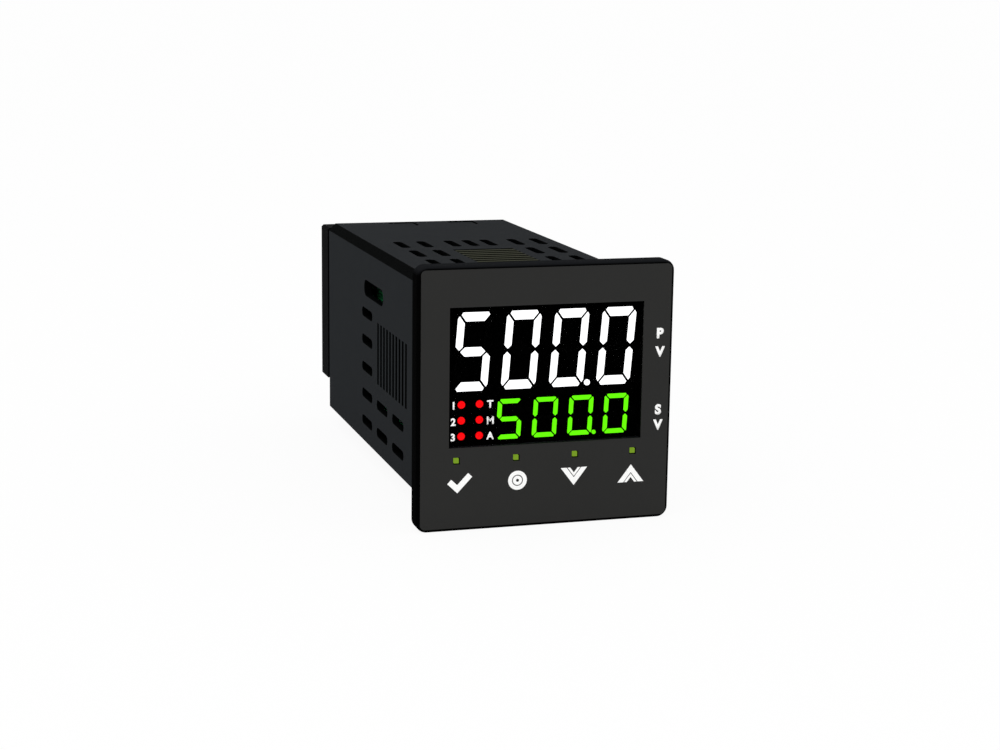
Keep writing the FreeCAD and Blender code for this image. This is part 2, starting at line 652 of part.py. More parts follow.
def make_digits(name, prefix):
    """One row of seven-segment digits with their decimal points."""
    body = new_body(name)
    width, height, bar, post, gap, nose = [
        prefix + word for word in ("_width", "_height", "_bar", "_post", "_gap", "_nose")
    ]
    left, foot, slant, pitch, dot = [
        prefix + word for word in ("_left", "_foot", "_slant", "_pitch", "_dot")
    ]
    digit = new_sketch(body, prefix.capitalize() + "Sketch", "front", BLOCK_FACE)
    for corners in digit_segments(width, height, bar, post, gap, nose):
        leaning = []
        for x, z in corners:
            leaning.append(("%s + %s + (%s) * %s" % (left, x, z, slant), "%s + %s" % (foot, z)))
        polygon(digit, leaning)
    dot_place = "%s + %s + %s_dot_place" % (left, width, prefix)
    disc(digit, (dot_place, "%s + %s" % (foot, dot)), dot)
    segments = pad(body, digit, "segment_rise")
    repeat(body, segments, "X_Axis", pitch, "digit_count")
    return body


def make_status_lamps():
    """Two columns of round status lamps beside the small digits."""
    body = new_body("status_lamps")
    lamp = new_sketch(body, "LampSketch", "front", BLOCK_FACE)
    disc(lamp, ("lamp_left", "lamp_foot"), "lamp_radius", faces=16)
    first = pad(body, lamp, "segment_rise")
    rows = ("Z_Axis", "lamp_row_pitch", "lamp_rows")
    repeat(body, first, "X_Axis", "lamp_column_pitch", "2", rows)
    return body


keep(make_display_block())
keep(make_digits("process_digits", "process"))
keep(make_digits("setpoint_digits", "setpoint"))
keep(make_status_lamps())


# ---------------------------------------------------------------------- keys
def make_key_lamps():
    """Square light pipes from the display board to the film, one above each key."""
    body = new_body("key_lamps")
    pipe = new_sketch(body, "PipeSketch", "front", BOARD_FRONT)
    place = key_places()[0]
    rectangle(pipe, (place, "-key_lamp_drop"), ("key_lamp_side", "key_lamp_side"))
    first = pad(body, pipe, "%s + bezel_depth - key_lamp_recess" % BOARD_FRONT)
    repeat(body, first, "X_Axis", KEY_PITCH, "4")
    return body


def make_key_switches():
    """Bodies of the four push switches on the display board."""
    body = new_body("key_switches")
    place = key_places()[0]
    shell = new_sketch(body, "SwitchSketch", "front", BOARD_FRONT)
    rectangle(shell, (place, "-key_drop"), ("switch_side", "switch_side"))
    circle(shell, (place, "-key_drop"), "stem_radius + stem_clearance")
    wall = pad(body, shell, "switch_depth")
    floor = new_sketch(body, "SwitchFloorSketch", "front", BOARD_FRONT)
    rectangle(floor, (place, "-key_drop"), ("switch_side", "switch_side"))
    base = pad(body, floor, "%s - %s - key_travel - stem_reserve" % (BOARD_FRONT, STEM_BACK))
    row = body.newObject("PartDesign::LinearPattern", "SwitchRow")
    row.Originals = [wall, base]
    row.Direction = (origin_feature(body, "X_Axis"), [""])
    bind(row, "Length", "%s * 3" % KEY_PITCH)
    row.Occurrences = 4
    body.Tip = row
    doc.recompute()
    return body


def make_key(name, place):
    """Key behind the film, with a lip that keeps it in its hole in the front wall."""
    body = new_body(name)
    title = name.replace("_", " ").title().replace(" ", "")
    lip = new_sketch(body, title + "LipSketch", "front", LIP_BACK)
    width = "key_width + 2 * key_lip"
    height = "key_height + 2 * key_lip"
    cut_rectangle(lip, (place, "-key_drop"), (width, height), "key_corner")
    pad(body, lip, "key_lip_depth")
    head = new_sketch(body, title + "HeadSketch", "front", WALL_BACK)
    cut_rectangle(head, (place, "-key_drop"), ("key_width", "key_height"), "key_corner")
    pad(body, head, "front_wall")
    return body


def make_stem(name, place):
    """Stem of one push switch, between the key and the switch's body."""
    stem = doc.addObject("Part::Cylinder", name)
    stem.Label = name
    bind(stem, "Radius", "stem_radius")
    bind(stem, "Height", "%s - %s" % (STEM_BACK, LIP_BACK))
    stem.Placement.Rotation = FreeCAD.Rotation(FreeCAD.Vector(1, 0, 0), -90)
    bind(stem, "Placement.Base.x", place)
    bind(stem, "Placement.Base.y", LIP_BACK)
    bind(stem, "Placement.Base.z", "-key_drop")
    return stem


keep(make_key_lamps())
keep(make_key_switches())
for word, key_place in zip(("enter", "menu", "down", "up"), key_places()):
    keep(make_key(word + "_key", key_place))
    keep(make_stem(word + "_switch_stem", key_place))


# --------------------------------------------------------------- case sleeve
def make_case_sleeve():
    """Square moulded sleeve with chamfered upper edges and vents on four sides."""
    body = new_body("case_sleeve")
    outer = new_sketch(body, "SleeveSketch", "front", "case_end")
    rectangle(outer, ("0", "0"), ("case_width", "case_height"))
    pad(body, outer, "case_end - %s" % CASE_START)
    top = number_of("case_height / 2")

    half = number_of("case_width / 2")

    def runs_back_at(height):
        def test(edge):
            return lies_at(edge, "Z", height) and near(abs(edge.CenterOfMass.x), half)
        return test

    dress(body, "Chamfer", "TopChamfer", "case_top_chamfer", runs_back_at(top))
    dress(body, "Chamfer", "FootChamfer", "case_foot_chamfer", runs_back_at(-top))

    inner = new_sketch(body, "BoreSketch", "front", CASE_START)
    rectangle(inner, ("0", "0"), (INNER_WIDTH, INNER_HEIGHT))
    pocket(body, inner, "case_end - %s" % CASE_START)

    rear_column = "vent_first + 2 * vent_column_pitch"
    tall = new_sketch(body, "TallVentSketch", "side", "case_width / 2")
    slot(tall, (rear_column, "vent_row_foot"), "vent_length", "vent_width")
    repeat(body, pocket(body, tall, "case_width"), "Z_Axis", "vent_row_pitch", "vent_tall_rows")

    low = new_sketch(body, "LowVentSketch", "side", "case_width / 2")
    slot(low, ("vent_first", "vent_row_foot"), "vent_length", "vent_width")
    columns = ("Y_Axis", "vent_column_pitch", "2")
    repeat(body, pocket(body, low, "case_width"), "Z_Axis", "vent_row_pitch", "vent_low_rows", columns)

    long_slot = new_sketch(body, "BoardSlotSketch", "side", "case_width / 2")
    place = ("board_slot_place", "board_slot_rise")
    slot(long_slot, place, "board_slot_length", "board_slot_width", faces=8)
    pocket(body, long_slot, "case_width")

    side_grille = new_sketch(body, "SideGrilleSketch", "side", "case_width / 2")
    rectangle(side_grille, ("grille_first", "side_grille_rise"), ("grille_width", "grille_length"))
    cut = pocket(body, side_grille, "case_width")
    repeat(body, cut, "Y_Axis", "grille_pitch", "grille_slots")

    top_vents = new_sketch(body, "TopVentSketch", "top", "case_height / 2")
    for sign in ("-", "+"):
        for reach in ("top_vent_outer", "top_vent_middle"):
            place = ("top_vent_shift %s %s" % (sign, reach), "vent_first")
            slot(top_vents, place, "vent_length", "vent_width", upright=True)
    cut = pocket(body, top_vents, "case_height")
    repeat(body, cut, "Y_Axis", "vent_column_pitch", "3")

    rear_vents = new_sketch(body, "RearVentSketch", "top", "case_height / 2")
    place = ("top_vent_shift - top_vent_inner", rear_column)
    slot(rear_vents, place, "vent_length", "vent_width", upright=True)
    cut = pocket(body, rear_vents, "case_height")
    repeat(body, cut, "X_Axis", "top_vent_inner", "3")

    top_grille = new_sketch(body, "TopGrilleSketch", "top", "case_height / 2")
    rectangle(top_grille, ("top_vent_shift", "grille_first"), ("grille_length", "grille_width"))
    cut = pocket(body, top_grille, "case_height")
    repeat(body, cut, "Y_Axis", "grille_pitch", "grille_slots")

    notches = new_sketch(body, "NotchSketch", "top", "case_height / 2")
    for sign in ("-", "+"):
        finger_notch(notches, "notch_shift %s notch_spread" % sign)
    pocket(body, notches, "notch_depth")
    return body


def finger_notch(sketch, centre):
    """Draw a notch that is round at the front and square at the sleeve's rear edge."""
    start = "case_end - notch_rim - notch_length"
    x, y, r = [number_of(text) for text in (centre, start, "notch_radius")]
    end = number_of("case_end - notch_rim")
    south = arc(sketch, (x, y), r, 2, 4)
    east = line(sketch, (x + r, y), (x + r, end))
    north = line(sketch, (x + r, end), (x - r, end))
    west = line(sketch, (x - r, end), (x - r, y))
    sketch.addConstraint(Sketcher.Constraint("Tangent", south, 2, east, 1))
    sketch.addConstraint(Sketcher.Constraint("Coincident", east, 2, north, 1))
    sketch.addConstraint(Sketcher.Constraint("Coincident", north, 2, west, 1))
    sketch.addConstraint(Sketcher.Constraint("Tangent", west, 2, south, 1))
    sketch.addConstraint(Sketcher.Constraint("Vertical", east))
    sketch.addConstraint(Sketcher.Constraint("Horizontal", north))
    dimension(sketch, "Radius", (south,), "notch_radius")
    dimension(sketch, "DistanceX", (-1, 1, south, 3), centre)
    dimension(sketch, "DistanceY", (-1, 1, south, 3), start)
    dimension(sketch, "DistanceY", (-1, 1, east, 2), "case_end - notch_rim")


keep(make_case_sleeve())


# ------------------------------------------------------------ circuit boards
def make_boards():
    """Display board across the front and a board along each side wall."""
    height = "%s - 2 * board_clearance" % INNER_HEIGHT
    corner = ("-(%s) / 2" % BOARD_WIDTH, BOARD_FRONT, "-(%s) / 2" % height)
    keep(box("display_board", corner, (BOARD_WIDTH, "board_thickness", height)))

    length = "%s - %s" % (COVER_FRONT, BOARD_BACK)
    size = ("board_thickness", length, "side_board_height")
    left = ("%s - board_thickness" % LEFT_BOARD_IN, BOARD_BACK, "-side_board_height / 2")
    keep(box("power_board", left, size))
    right = (RIGHT_BOARD_IN, BOARD_BACK, "-side_board_height / 2")
    keep(box("logic_board", right, size))


def make_board_headers():
    """Plastic strips that join each side board to the display board."""
    size = ("header_depth", "header_depth", "header_length")
    left = box("HeaderLeft", (LEFT_BOARD_IN, BOARD_BACK, "-header_length / 2"), size)
    right_corner = ("%s - header_depth" % RIGHT_BOARD_IN, BOARD_BACK, "-header_length / 2")
    right = box("HeaderRight", right_corner, size)
    return group("board_headers", [left, right])


make_boards()
keep(make_board_headers())


# --------------------------------------------------- parts on the power board
def make_transformer():
    """Ferrite core with two outer legs, and the winding on its bobbin between them."""
    core_in = "%s + bobbin_base" % LEFT_BOARD_IN
    outer = box("CoreOuter", (core_in, "core_place", "core_foot"),
                ("core_depth", "core_length", "core_height"))
    window_corner = ("%s + core_leg" % core_in, "core_place", "core_foot + core_leg")
    window = box("CoreWindow", window_corner,
                 ("core_depth - 2 * core_leg", "core_length", "core_height - 2 * core_leg"))
    core = doc.addObject("Part::Cut", "transformer_core")
    core.Label = "transformer_core"
    core.Base = outer
    core.Tool = window
    keep(core)

    base = box("BobbinBase", (LEFT_BOARD_IN, "core_place", "core_foot"),
               ("bobbin_base", "core_length", "core_height"))
    coil = doc.addObject("Part::Box", "WindingBlock")
    corner = ("%s + core_leg + winding_gap" % core_in, "core_place + winding_gap",
              "core_foot + core_leg + winding_gap")
    size = ("core_depth - 2 * core_leg - 2 * winding_gap", "core_length - 2 * winding_gap",
            "core_height - 2 * core_leg - 2 * winding_gap")
    for side, text in zip(("Length", "Width", "Height"), size):
        bind(coil, side, text)
    for axis, text in zip("xyz", corner):
        bind(coil, "Placement.Base." + axis, text)
    doc.recompute()
    winding = doc.addObject("Part::Fillet", "transformer_winding")
    winding.Label = "transformer_winding"
    winding.Base = coil
    rounding = number_of("winding_gap * 5")
    upright = []
    for index, edge in enumerate(coil.Shape.Edges, start=1):
        if near(edge.BoundBox.XLength, 0) and near(edge.BoundBox.YLength, 0):
            upright.append((index, rounding, rounding))
    winding.Edges = upright
    keep(winding)
    base.Label = "transformer_base"
    keep(base)


def make_filter_capacitors():
    """Two electrolytic cans that stand on the power board."""
    body = new_body("filter_capacitors")
    outline = new_sketch(body, "CanSketch", "side", LEFT_BOARD_IN)
    circle(outline, ("capacitor_place", "capacitor_foot"), "capacitor_radius")
    can = pad(body, outline, "capacitor_length")
    repeat(body, can, "Z_Axis", "capacitor_pitch", "2")
    return body


make_transformer()
keep(make_filter_capacitors())
keep(box("mains_capacitor", (LEFT_BOARD_IN, "mains_cap_place", "-mains_cap_height / 2"),
         ("mains_cap_depth", "mains_cap_length", "mains_cap_height")))


# --------------------------------------------------- parts on the logic board
def make_output_relays():
    """Two relays, one above the other."""
    pieces = []
    for index in range(2):
        corner = ("%s - relay_depth" % RIGHT_BOARD_IN, "relay_place",
                  "relay_foot + relay_pitch * %d" % index)
        pieces.append(box("Relay%d" % index, corner, ("relay_depth", "relay_length", "relay_height")))
    return group("output_relays", pieces)


def make_processor():
    """Square flat chip, and its leads on four sides."""
    corner = ("%s - chip_thickness" % RIGHT_BOARD_IN, "chip_place", "-chip_side / 2")
    keep(box("processor_chip", corner, ("chip_thickness", "chip_side", "chip_side")))
    leads = []
    depth = "chip_thickness / 2"
    for index in range(int(number_of("leads_per_side"))):
        step = "(%d - (leads_per_side - 1) / 2) * lead_pitch - lead_width / 2" % index
        for name, y, z, size in (
            ("Front", "chip_place - lead_reach", step, (depth, "lead_reach", "lead_width")),
            ("Rear", "chip_place + chip_side", step, (depth, "lead_reach", "lead_width")),
            ("Low", "chip_place + chip_side / 2 + " + step, "-chip_side / 2 - lead_reach",
             (depth, "lead_width", "lead_reach")),
            ("High", "chip_place + chip_side / 2 + " + step, "chip_side / 2",
             (depth, "lead_width", "lead_reach")),
        ):
            place = ("%s - %s" % (RIGHT_BOARD_IN, depth), y, z)
            leads.append(box("Lead%s%d" % (name, index), place, size))
    keep(group("processor_leads", leads))


def make_clock_crystal():
    """Flat metal can with round ends."""
    body = new_body("clock_crystal")
    outline = new_sketch(body, "CrystalSketch", "side", "%s - crystal_depth" % RIGHT_BOARD_IN)
    slot(outline, ("crystal_place + crystal_length / 2", "0"), "crystal_length", "crystal_width")
    pad(body, outline, "crystal_depth")
    return body


keep(make_output_relays())
make_processor()
keep(make_clock_crystal())


# ------------------------------------------------------------ terminal block
def terminal_corner():
    """Place of the lowest left terminal, seen from the front."""
    x = "-terminal_column_pitch * (terminal_columns - 1) / 2"
    z = "(block_foot + block_head) / 2 - terminal_pitch * (terminal_rows - 1) / 2"
    return x, z


TERMINAL_ROWS = ("Z_Axis", "terminal_pitch", "terminal_rows")


def make_terminal_block():
    """Rear cover with the raised block of terminals, one moulding."""
    body = new_body("terminal_block")
    spigot = new_sketch(body, "SpigotSketch", "front", "case_end")
    width = "%s - 2 * spigot_clearance" % INNER_WIDTH
    height = "%s - 2 * spigot_clearance" % INNER_HEIGHT
    rectangle(spigot, ("0", "0"), (width, height))
    pad(body, spigot, "spigot_depth")

    plate = new_sketch(body, "PlateSketch", "front", PLATE_BACK)
    lowest = "(cover_foot_inset - case_height / 2)"
    middle = "(%s + case_height / 2 - case_top_chamfer) / 2" % lowest
    size = ("case_width - 2 * cover_inset", "case_height / 2 - case_top_chamfer - %s" % lowest)
    rectangle(plate, ("0", middle), size)
    pad(body, plate, "cover_thickness")

    block = new_sketch(body, "BlockSketch", "front", BLOCK_BACK)
    size = ("case_width", "block_head - block_foot")
    rectangle(block, ("0", "(block_head + block_foot) / 2"), size)
    pad(body, block, "block_depth - cover_thickness")
    half = number_of("case_width / 2")
    head = number_of("block_head")
    dress(body, "Chamfer", "BlockChamfer", "block_chamfer",
          lambda edge: lies_at(edge, "Z", head) and near(abs(edge.CenterOfMass.x), half))

    x, z = terminal_corner()
    pockets = new_sketch(body, "TerminalSketch", "front", POCKET_FLOOR)
    rectangle(pockets, (x, z), ("pocket_width", "pocket_height"))
    cut = pocket(body, pockets, "pocket_depth")
    repeat(body, cut, "X_Axis", "terminal_column_pitch", "terminal_columns", TERMINAL_ROWS)

    bores = new_sketch(body, "ScrewBoreSketch", "front", "%s - screw_length" % POCKET_FLOOR)
    disc(bores, (x, z), "screw_radius + screw_clearance", faces=8)
    cut = pocket(body, bores, "screw_length")
    repeat(body, cut, "X_Axis", "terminal_column_pitch", "terminal_columns", TERMINAL_ROWS)

    grooves = new_sketch(body, "ColumnGrooveSketch", "front", "%s - groove_depth" % BLOCK_BACK)
    place = "-terminal_column_pitch * (terminal_columns - 2) / 2"
    middle = "(block_head + block_foot) / 2"
    rectangle(grooves, (place, middle), ("column_groove", "block_head - block_foot + block_chamfer"))
    cut = pocket(body, grooves, "groove_depth")
    repeat(body, cut, "X_Axis", "terminal_column_pitch", "(terminal_columns - 1)")
    return body


def make_terminal_plates(name, title, at, width, thickness):
    """One metal plate in every terminal's pocket, with a hole for its screw."""
    body = new_body(name)
    x, z = terminal_corner()
    outline = new_sketch(body, title + "Sketch", "front", "%s + %s" % (at, thickness))
    rectangle(outline, (x, z), (width, "pocket_height - 2 * pocket_clearance"))
    disc(outline, (x, z), "screw_radius + screw_clearance", faces=8)
    plate = pad(body, outline, thickness)
    repeat(body, plate, "X_Axis", "terminal_column_pitch", "terminal_columns", TERMINAL_ROWS)
    return body


def make_terminal_screws():
    """Slotted terminal screws, one in every pocket."""
    body = new_body("terminal_screws")
    x, z = terminal_corner()
    shank = new_sketch(body, "ShankSketch", "front", CLAMP_BACK)
    disc(shank, (x, z), "screw_radius", faces=8)
    below = "clamp_thickness + contact_thickness + screw_length - 2 * screw_clearance"
    first = pad(body, shank, below)
    head = new_sketch(body, "HeadSketch", "front", "%s + screw_head_depth" % CLAMP_BACK)
    disc(head, (x, z), "screw_head_radius", faces=16)
    second = pad(body, head, "screw_head_depth")
    slit = new_sketch(body, "SlitSketch", "front",
                      "%s + screw_head_depth - screw_slot_depth" % CLAMP_BACK)
    rectangle(slit, (x, z), ("screw_head_radius * 2.2", "screw_slot_width"))
    third = pocket(body, slit, "screw_slot_depth")
    grid = body.newObject("PartDesign::LinearPattern", "ScrewGrid")
    grid.Originals = [first, second, third]
    grid.Direction = (origin_feature(body, "X_Axis"), [""])
    bind(grid, "Length", "terminal_column_pitch * (terminal_columns - 1)")
    bind(grid, "Occurrences", "terminal_columns")
    grid.Direction2 = (origin_feature(body, "Z_Axis"), [""])
    bind(grid, "Length2", "terminal_pitch * (terminal_rows - 1)")
    bind(grid, "Occurrences2", "terminal_rows")
    body.Tip = grid
    doc.recompute()
    return body


keep(make_terminal_block())
keep(make_terminal_plates("terminal_contacts", "Contact", POCKET_FLOOR,
                          "pocket_width - 2 * pocket_clearance", "contact_thickness"))
keep(make_terminal_plates("wire_clamps", "Clamp", "%s + contact_thickness" % POCKET_FLOOR,
                          "clamp_length", "clamp_thickness"))
keep(make_terminal_screws())

# ------------------------------------------------------------- check and write
doc.recompute()
for item in doc.Objects:
    if "Invalid" in item.State or "Error" in item.State:
        raise RuntimeError("%s is %s" % (item.Name, item.State))

os.makedirs("parts", exist_ok=True)
for sub_part in parts:
    shape = sub_part.Shape
    if shape.isNull() or not shape.isValid() or not shape.Solids:
        raise RuntimeError(sub_part.Label + " has no valid solid")
    shape.exportStep("parts/%s.step" % sub_part.Label)
    print("%-20s %3d solids %10.1f mm3" % (sub_part.Label, len(shape.Solids), shape.Volume))
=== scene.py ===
import math

import bpy
from mathutils import Euler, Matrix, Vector


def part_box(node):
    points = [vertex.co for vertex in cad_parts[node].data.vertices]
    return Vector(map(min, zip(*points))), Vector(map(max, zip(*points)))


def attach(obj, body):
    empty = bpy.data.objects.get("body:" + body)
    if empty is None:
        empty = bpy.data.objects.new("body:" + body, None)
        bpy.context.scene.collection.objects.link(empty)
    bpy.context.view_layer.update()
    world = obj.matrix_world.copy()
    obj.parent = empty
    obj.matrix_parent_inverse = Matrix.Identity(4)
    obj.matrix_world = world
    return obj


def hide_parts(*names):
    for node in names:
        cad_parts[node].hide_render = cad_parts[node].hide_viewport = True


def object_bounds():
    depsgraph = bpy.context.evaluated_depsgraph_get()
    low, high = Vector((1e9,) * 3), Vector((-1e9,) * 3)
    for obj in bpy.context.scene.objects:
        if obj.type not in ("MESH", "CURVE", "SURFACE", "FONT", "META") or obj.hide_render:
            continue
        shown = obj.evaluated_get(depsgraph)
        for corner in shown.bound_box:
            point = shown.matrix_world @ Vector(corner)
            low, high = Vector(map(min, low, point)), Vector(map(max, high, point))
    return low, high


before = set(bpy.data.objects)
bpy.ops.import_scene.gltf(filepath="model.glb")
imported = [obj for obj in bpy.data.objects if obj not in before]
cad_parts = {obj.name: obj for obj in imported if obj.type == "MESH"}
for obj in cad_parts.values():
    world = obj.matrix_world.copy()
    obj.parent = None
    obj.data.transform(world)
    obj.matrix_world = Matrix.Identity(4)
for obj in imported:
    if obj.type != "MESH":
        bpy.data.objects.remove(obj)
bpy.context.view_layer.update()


# ----------------------------------------------------------------- front bezel
# The square flange and the collar behind it are one injection moulding in black
# flame-retardant ABS. It holds everything at the front of the instrument, and the
# case sleeve is pushed into its collar from behind.
MM = 0.001      # a millimetre, in Blender's metres

# A Mix node's colour sockets by number: its share, its two colours and its result.
SHARE, FIRST, SECOND, MIXED = 0, 6, 7, 2


def linear(code):
    """Turn an sRGB hex colour into the linear values that a shader takes."""
    values = []
    for start in (1, 3, 5):
        value = int(code[start:start + 2], 16) / 255
        if value <= 0.04045:
            values.append(value / 12.92)
        else:
            values.append(((value + 0.055) / 1.055) ** 2.4)
    return values + [1.0]


def add_node(owner, kind, inputs=None, **settings):
    """Add one shader node with its settings, and the values and links of its inputs."""
    node = owner.node_tree.nodes.new(kind)
    for name, value in settings.items():
        setattr(node, name, value)
    for name, value in (inputs or {}).items():
        if isinstance(value, bpy.types.NodeSocket):
            owner.node_tree.links.new(value, node.inputs[name])
        else:
            node.inputs[name].default_value = value
    return node


def shader_of(material):
    """Find the main shader of a material."""
    return material.node_tree.nodes["Principled BSDF"]


def new_material(name, colour, values):
    """Start a material with its colour and the values of its shader."""
    material = bpy.data.materials.new(name)
    material.use_nodes = True
    shader = shader_of(material)
    shader.inputs["Base Color"].default_value = linear(colour)
    for socket, value in values.items():
        shader.inputs[socket].default_value = value
    return material


def feed(material, socket, output):
    """Link a node's output to a socket of the material's shader."""
    material.node_tree.links.new(output, shader_of(material).inputs[socket])


def grain(material, size, depth, spread=0.02):
    """Give a surface an even grain, its size and depth in millimetres.

    Its roughness also goes up and down by the spread, in patches some 7 mm across.
    """
    places = add_node(material, "ShaderNodeTexCoord").outputs["Object"]
    noise = add_node(material, "ShaderNodeTexNoise",
                     {"Vector": places, "Scale": 1 / (size * MM), "Detail": 3.0})
    bump = add_node(material, "ShaderNodeBump",
                    {"Height": noise.outputs["Fac"], "Strength": 1.0,
                     "Distance": depth * MM})
    feed(material, "Normal", bump.outputs["Normal"])
    middle = shader_of(material).inputs["Roughness"].default_value
    patches = add_node(material, "ShaderNodeTexNoise",
                       {"Vector": places, "Scale": 150.0})
    rough = add_node(material, "ShaderNodeMapRange",
                     {"Value": patches.outputs["Fac"], "From Min": 0.3, "From Max": 0.7,
                      "To Min": middle - spread, "To Max": middle + spread})
    feed(material, "Roughness", rough.outputs["Result"])


def tint_by_facing(material, axis, start, full, plain, tinted):
    """Change the colour from plain to tinted on the faces that look along an axis.

    The change begins where the normal's part along the axis is start, and is whole
    where it is full.
    """
    surface = add_node(material, "ShaderNodeNewGeometry")
    facing = add_node(material, "ShaderNodeSeparateXYZ",
                      {"Vector": surface.outputs["True Normal"]})
    share = add_node(material, "ShaderNodeMapRange",
                     {"Value": facing.outputs[axis], "From Min": start,
                      "From Max": full})
    tint = add_node(material, "ShaderNodeMix",
                    {SHARE: share.outputs["Result"], FIRST: linear(plain),
                     SECOND: linear(tinted)}, data_type="RGBA")
    feed(material, "Base Color", tint.outputs[MIXED])


def dress(material, *nodes):
    """Give CAD nodes their finished material."""
    for node in nodes:
        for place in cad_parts[node].material_slots:
            place.material = material


# Black ABS from a spark-eroded mould: a fine even grain that scatters the light. It
# is almost black, and the faces that look up are painted greyer: painted light from above.
abs_black = new_material(
    "black_abs_moulding", "#040404",
    {"Roughness": 0.75, "IOR": 1.53, "Specular IOR Level": 0.001})
tint_by_facing(abs_black, "Z", start=0.2, full=0.75, plain="#030303", tinted="#18191B")
grain(abs_black, 0.22, 0.006)
dress(abs_black, "front_bezel")

# ---------------------------------------------------------------- panel gasket
# A flat ring of black rubber, die cut from sheet. It lies in the groove of the
# flange's rear face and is pressed against the panel.

# EPDM rubber, calendered between rollers: dull, with a coarse soft grain.
rubber = new_material(
    "black_epdm_rubber", "#141414",
    {"Roughness": 0.85, "IOR": 1.52, "Specular IOR Level": 0.3})
grain(rubber, 0.35, 0.02)
dress(rubber, "panel_gasket")

# ------------------------------------------------------------------ front film
# A polyester film with a matt coat, cut to the front and glued on the bezel. Its
# ground is a warm dark grey and its marks are white ink, printed last. The film is
# flat over the keys.
FILM_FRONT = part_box("front_film")[0].y
INK = 0.03 * MM             # its thickness
SETBACK = 0.02 * MM         # of a printed sheet behind the front of its ink
CORNER_RADIUS = 1.4 * MM    # of the CAD film
CORNER_SHRINK = 0.64        # of the die's corners beside those
NEAR = 0.01 * MM            # what is nearer counts as in the same plane
SAME_POINT = 0.001 * MM     # what is nearer counts as the same point


def work_on(piece):
    """Select one piece alone and make it active."""
    bpy.ops.object.select_all(action="DESELECT")
    piece.select_set(True)
    bpy.context.view_layer.objects.active = piece


def copy_of(node, name):
    """Copy a CAD node's mesh to a new piece, with its loose triangles joined up."""
    piece = bpy.data.objects.new(name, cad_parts[node].data.copy())
    bpy.context.scene.collection.objects.link(piece)
    work_on(piece)
    bpy.ops.object.mode_set(mode="EDIT")
    bpy.ops.mesh.select_all(action="SELECT")
    bpy.ops.mesh.remove_doubles(threshold=SAME_POINT)
    bpy.ops.object.mode_set(mode="OBJECT")
    return piece


def settle(piece):
    """Leave a piece's place, turn and size in its mesh."""
    work_on(piece)
    bpy.ops.object.transform_apply(location=True, rotation=True, scale=True)


def give(piece, material):
    """Give a new piece its one material."""
    piece.data.materials.clear()
    piece.data.materials.append(material)


def apply_all(piece):
    """Apply a piece's modifiers from first to last."""
    work_on(piece)
    for modifier in list(piece.modifiers):
        bpy.ops.object.modifier_apply(modifier=modifier.name)


def join(pieces, name):
    """Join pieces into one."""
    bpy.ops.object.select_all(action="DESELECT")
    for piece in pieces:
        piece.select_set(True)
    bpy.context.view_layer.objects.active = pieces[0]
    bpy.ops.object.join()
    pieces[0].name = name
    return pieces[0]


def choose(piece, test):
    """Select in edit mode the vertices of a piece that pass a test of their place."""
    bpy.ops.object.mode_set(mode="EDIT")
    bpy.ops.mesh.select_mode(type="VERT")
    bpy.ops.mesh.select_all(action="DESELECT")
    bpy.ops.object.mode_set(mode="OBJECT")
    for vertex in piece.data.vertices:
        vertex.select = test(vertex.co)
    bpy.ops.object.mode_set(mode="EDIT")


def recess_front(piece):
    """Move a sheet's front face back a little, which leaves room for its ink."""
    choose(piece, lambda place: place.y < FILM_FRONT + NEAR)
    bpy.ops.transform.translate(value=(0, SETBACK, 0))
    bpy.ops.object.mode_set(mode="OBJECT")


film = copy_of("front_film", "printed_front_film")
recess_front(film)
# The die cuts the film's corners a little tighter than the moulding's.
side = max(vertex.co.x for vertex in film.data.vertices)
for across in (-1, 1):
    for upward in (-1, 1):
        choose(film, lambda place: min(place.x * across, place.z * upward)
               > side - CORNER_RADIUS - NEAR)
        bpy.ops.transform.resize(value=(CORNER_SHRINK, 1, CORNER_SHRINK),
                                 center_override=(across * side, 0, upward * side))
        bpy.ops.object.mode_set(mode="OBJECT")

# Polyester film with a fine matt coat: no clear reflection, and a very faint cloud,
# some 25 mm across, in its grey.
film_coat = new_material(
    "matt_polyester_film", "#232322",
    {"Roughness": 0.62, "IOR": 1.57, "Specular IOR Level": 0.12})
places = add_node(film_coat, "ShaderNodeTexCoord").outputs["Object"]
cloud = add_node(film_coat, "ShaderNodeTexNoise", {"Vector": places, "Scale": 40.0})
tint = add_node(film_coat, "ShaderNodeMix",
                {SHARE: cloud.outputs["Fac"], FIRST: linear("#222221"),
                 SECOND: linear("#252524")}, data_type="RGBA")
feed(film_coat, "Base Color", tint.outputs[MIXED])
grain(film_coat, 0.15, 0.003)
give(film, film_coat)
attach(film, "housing")
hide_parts("front_film")

# The printed marks: their places, across and up, and their sizes in millimetres.
LETTER_HEIGHT, LETTER_BOLD = 1.95, 0.055
TICK_CORNER, TICK_TURN = (-16.55, -16.15), -46.5
TICK_BREADTH, TICK_LONG_ARM, TICK_SHORT_ARM = 1.06, 2.92, 1.52
MENU_MIDDLE = (-5.3, -15.2)
MENU_RINGS = ((0.28, 0.86), (1.03, 1.76))       # inner and outer radius of each
ARROW_REACH, ARROW_HEIGHT = 2.52, 3.3           # of one arm
ARROW_BANDS = ((0.0, 1.46), (1.68, 0.68))       # below the tip, and upright breadth


def flat_sheet(centre, size):
    """Lay a small upright rectangle of ink on the film."""
    bpy.ops.object.select_all(action="DESELECT")
    bpy.ops.mesh.primitive_plane_add(
        size=1, location=(centre[0] * MM, FILM_FRONT, centre[1] * MM),
        rotation=(math.radians(90), 0, 0))
    piece = bpy.context.object
    piece.scale = (size[0] * MM, size[1] * MM, 1)
    settle(piece)
    return piece


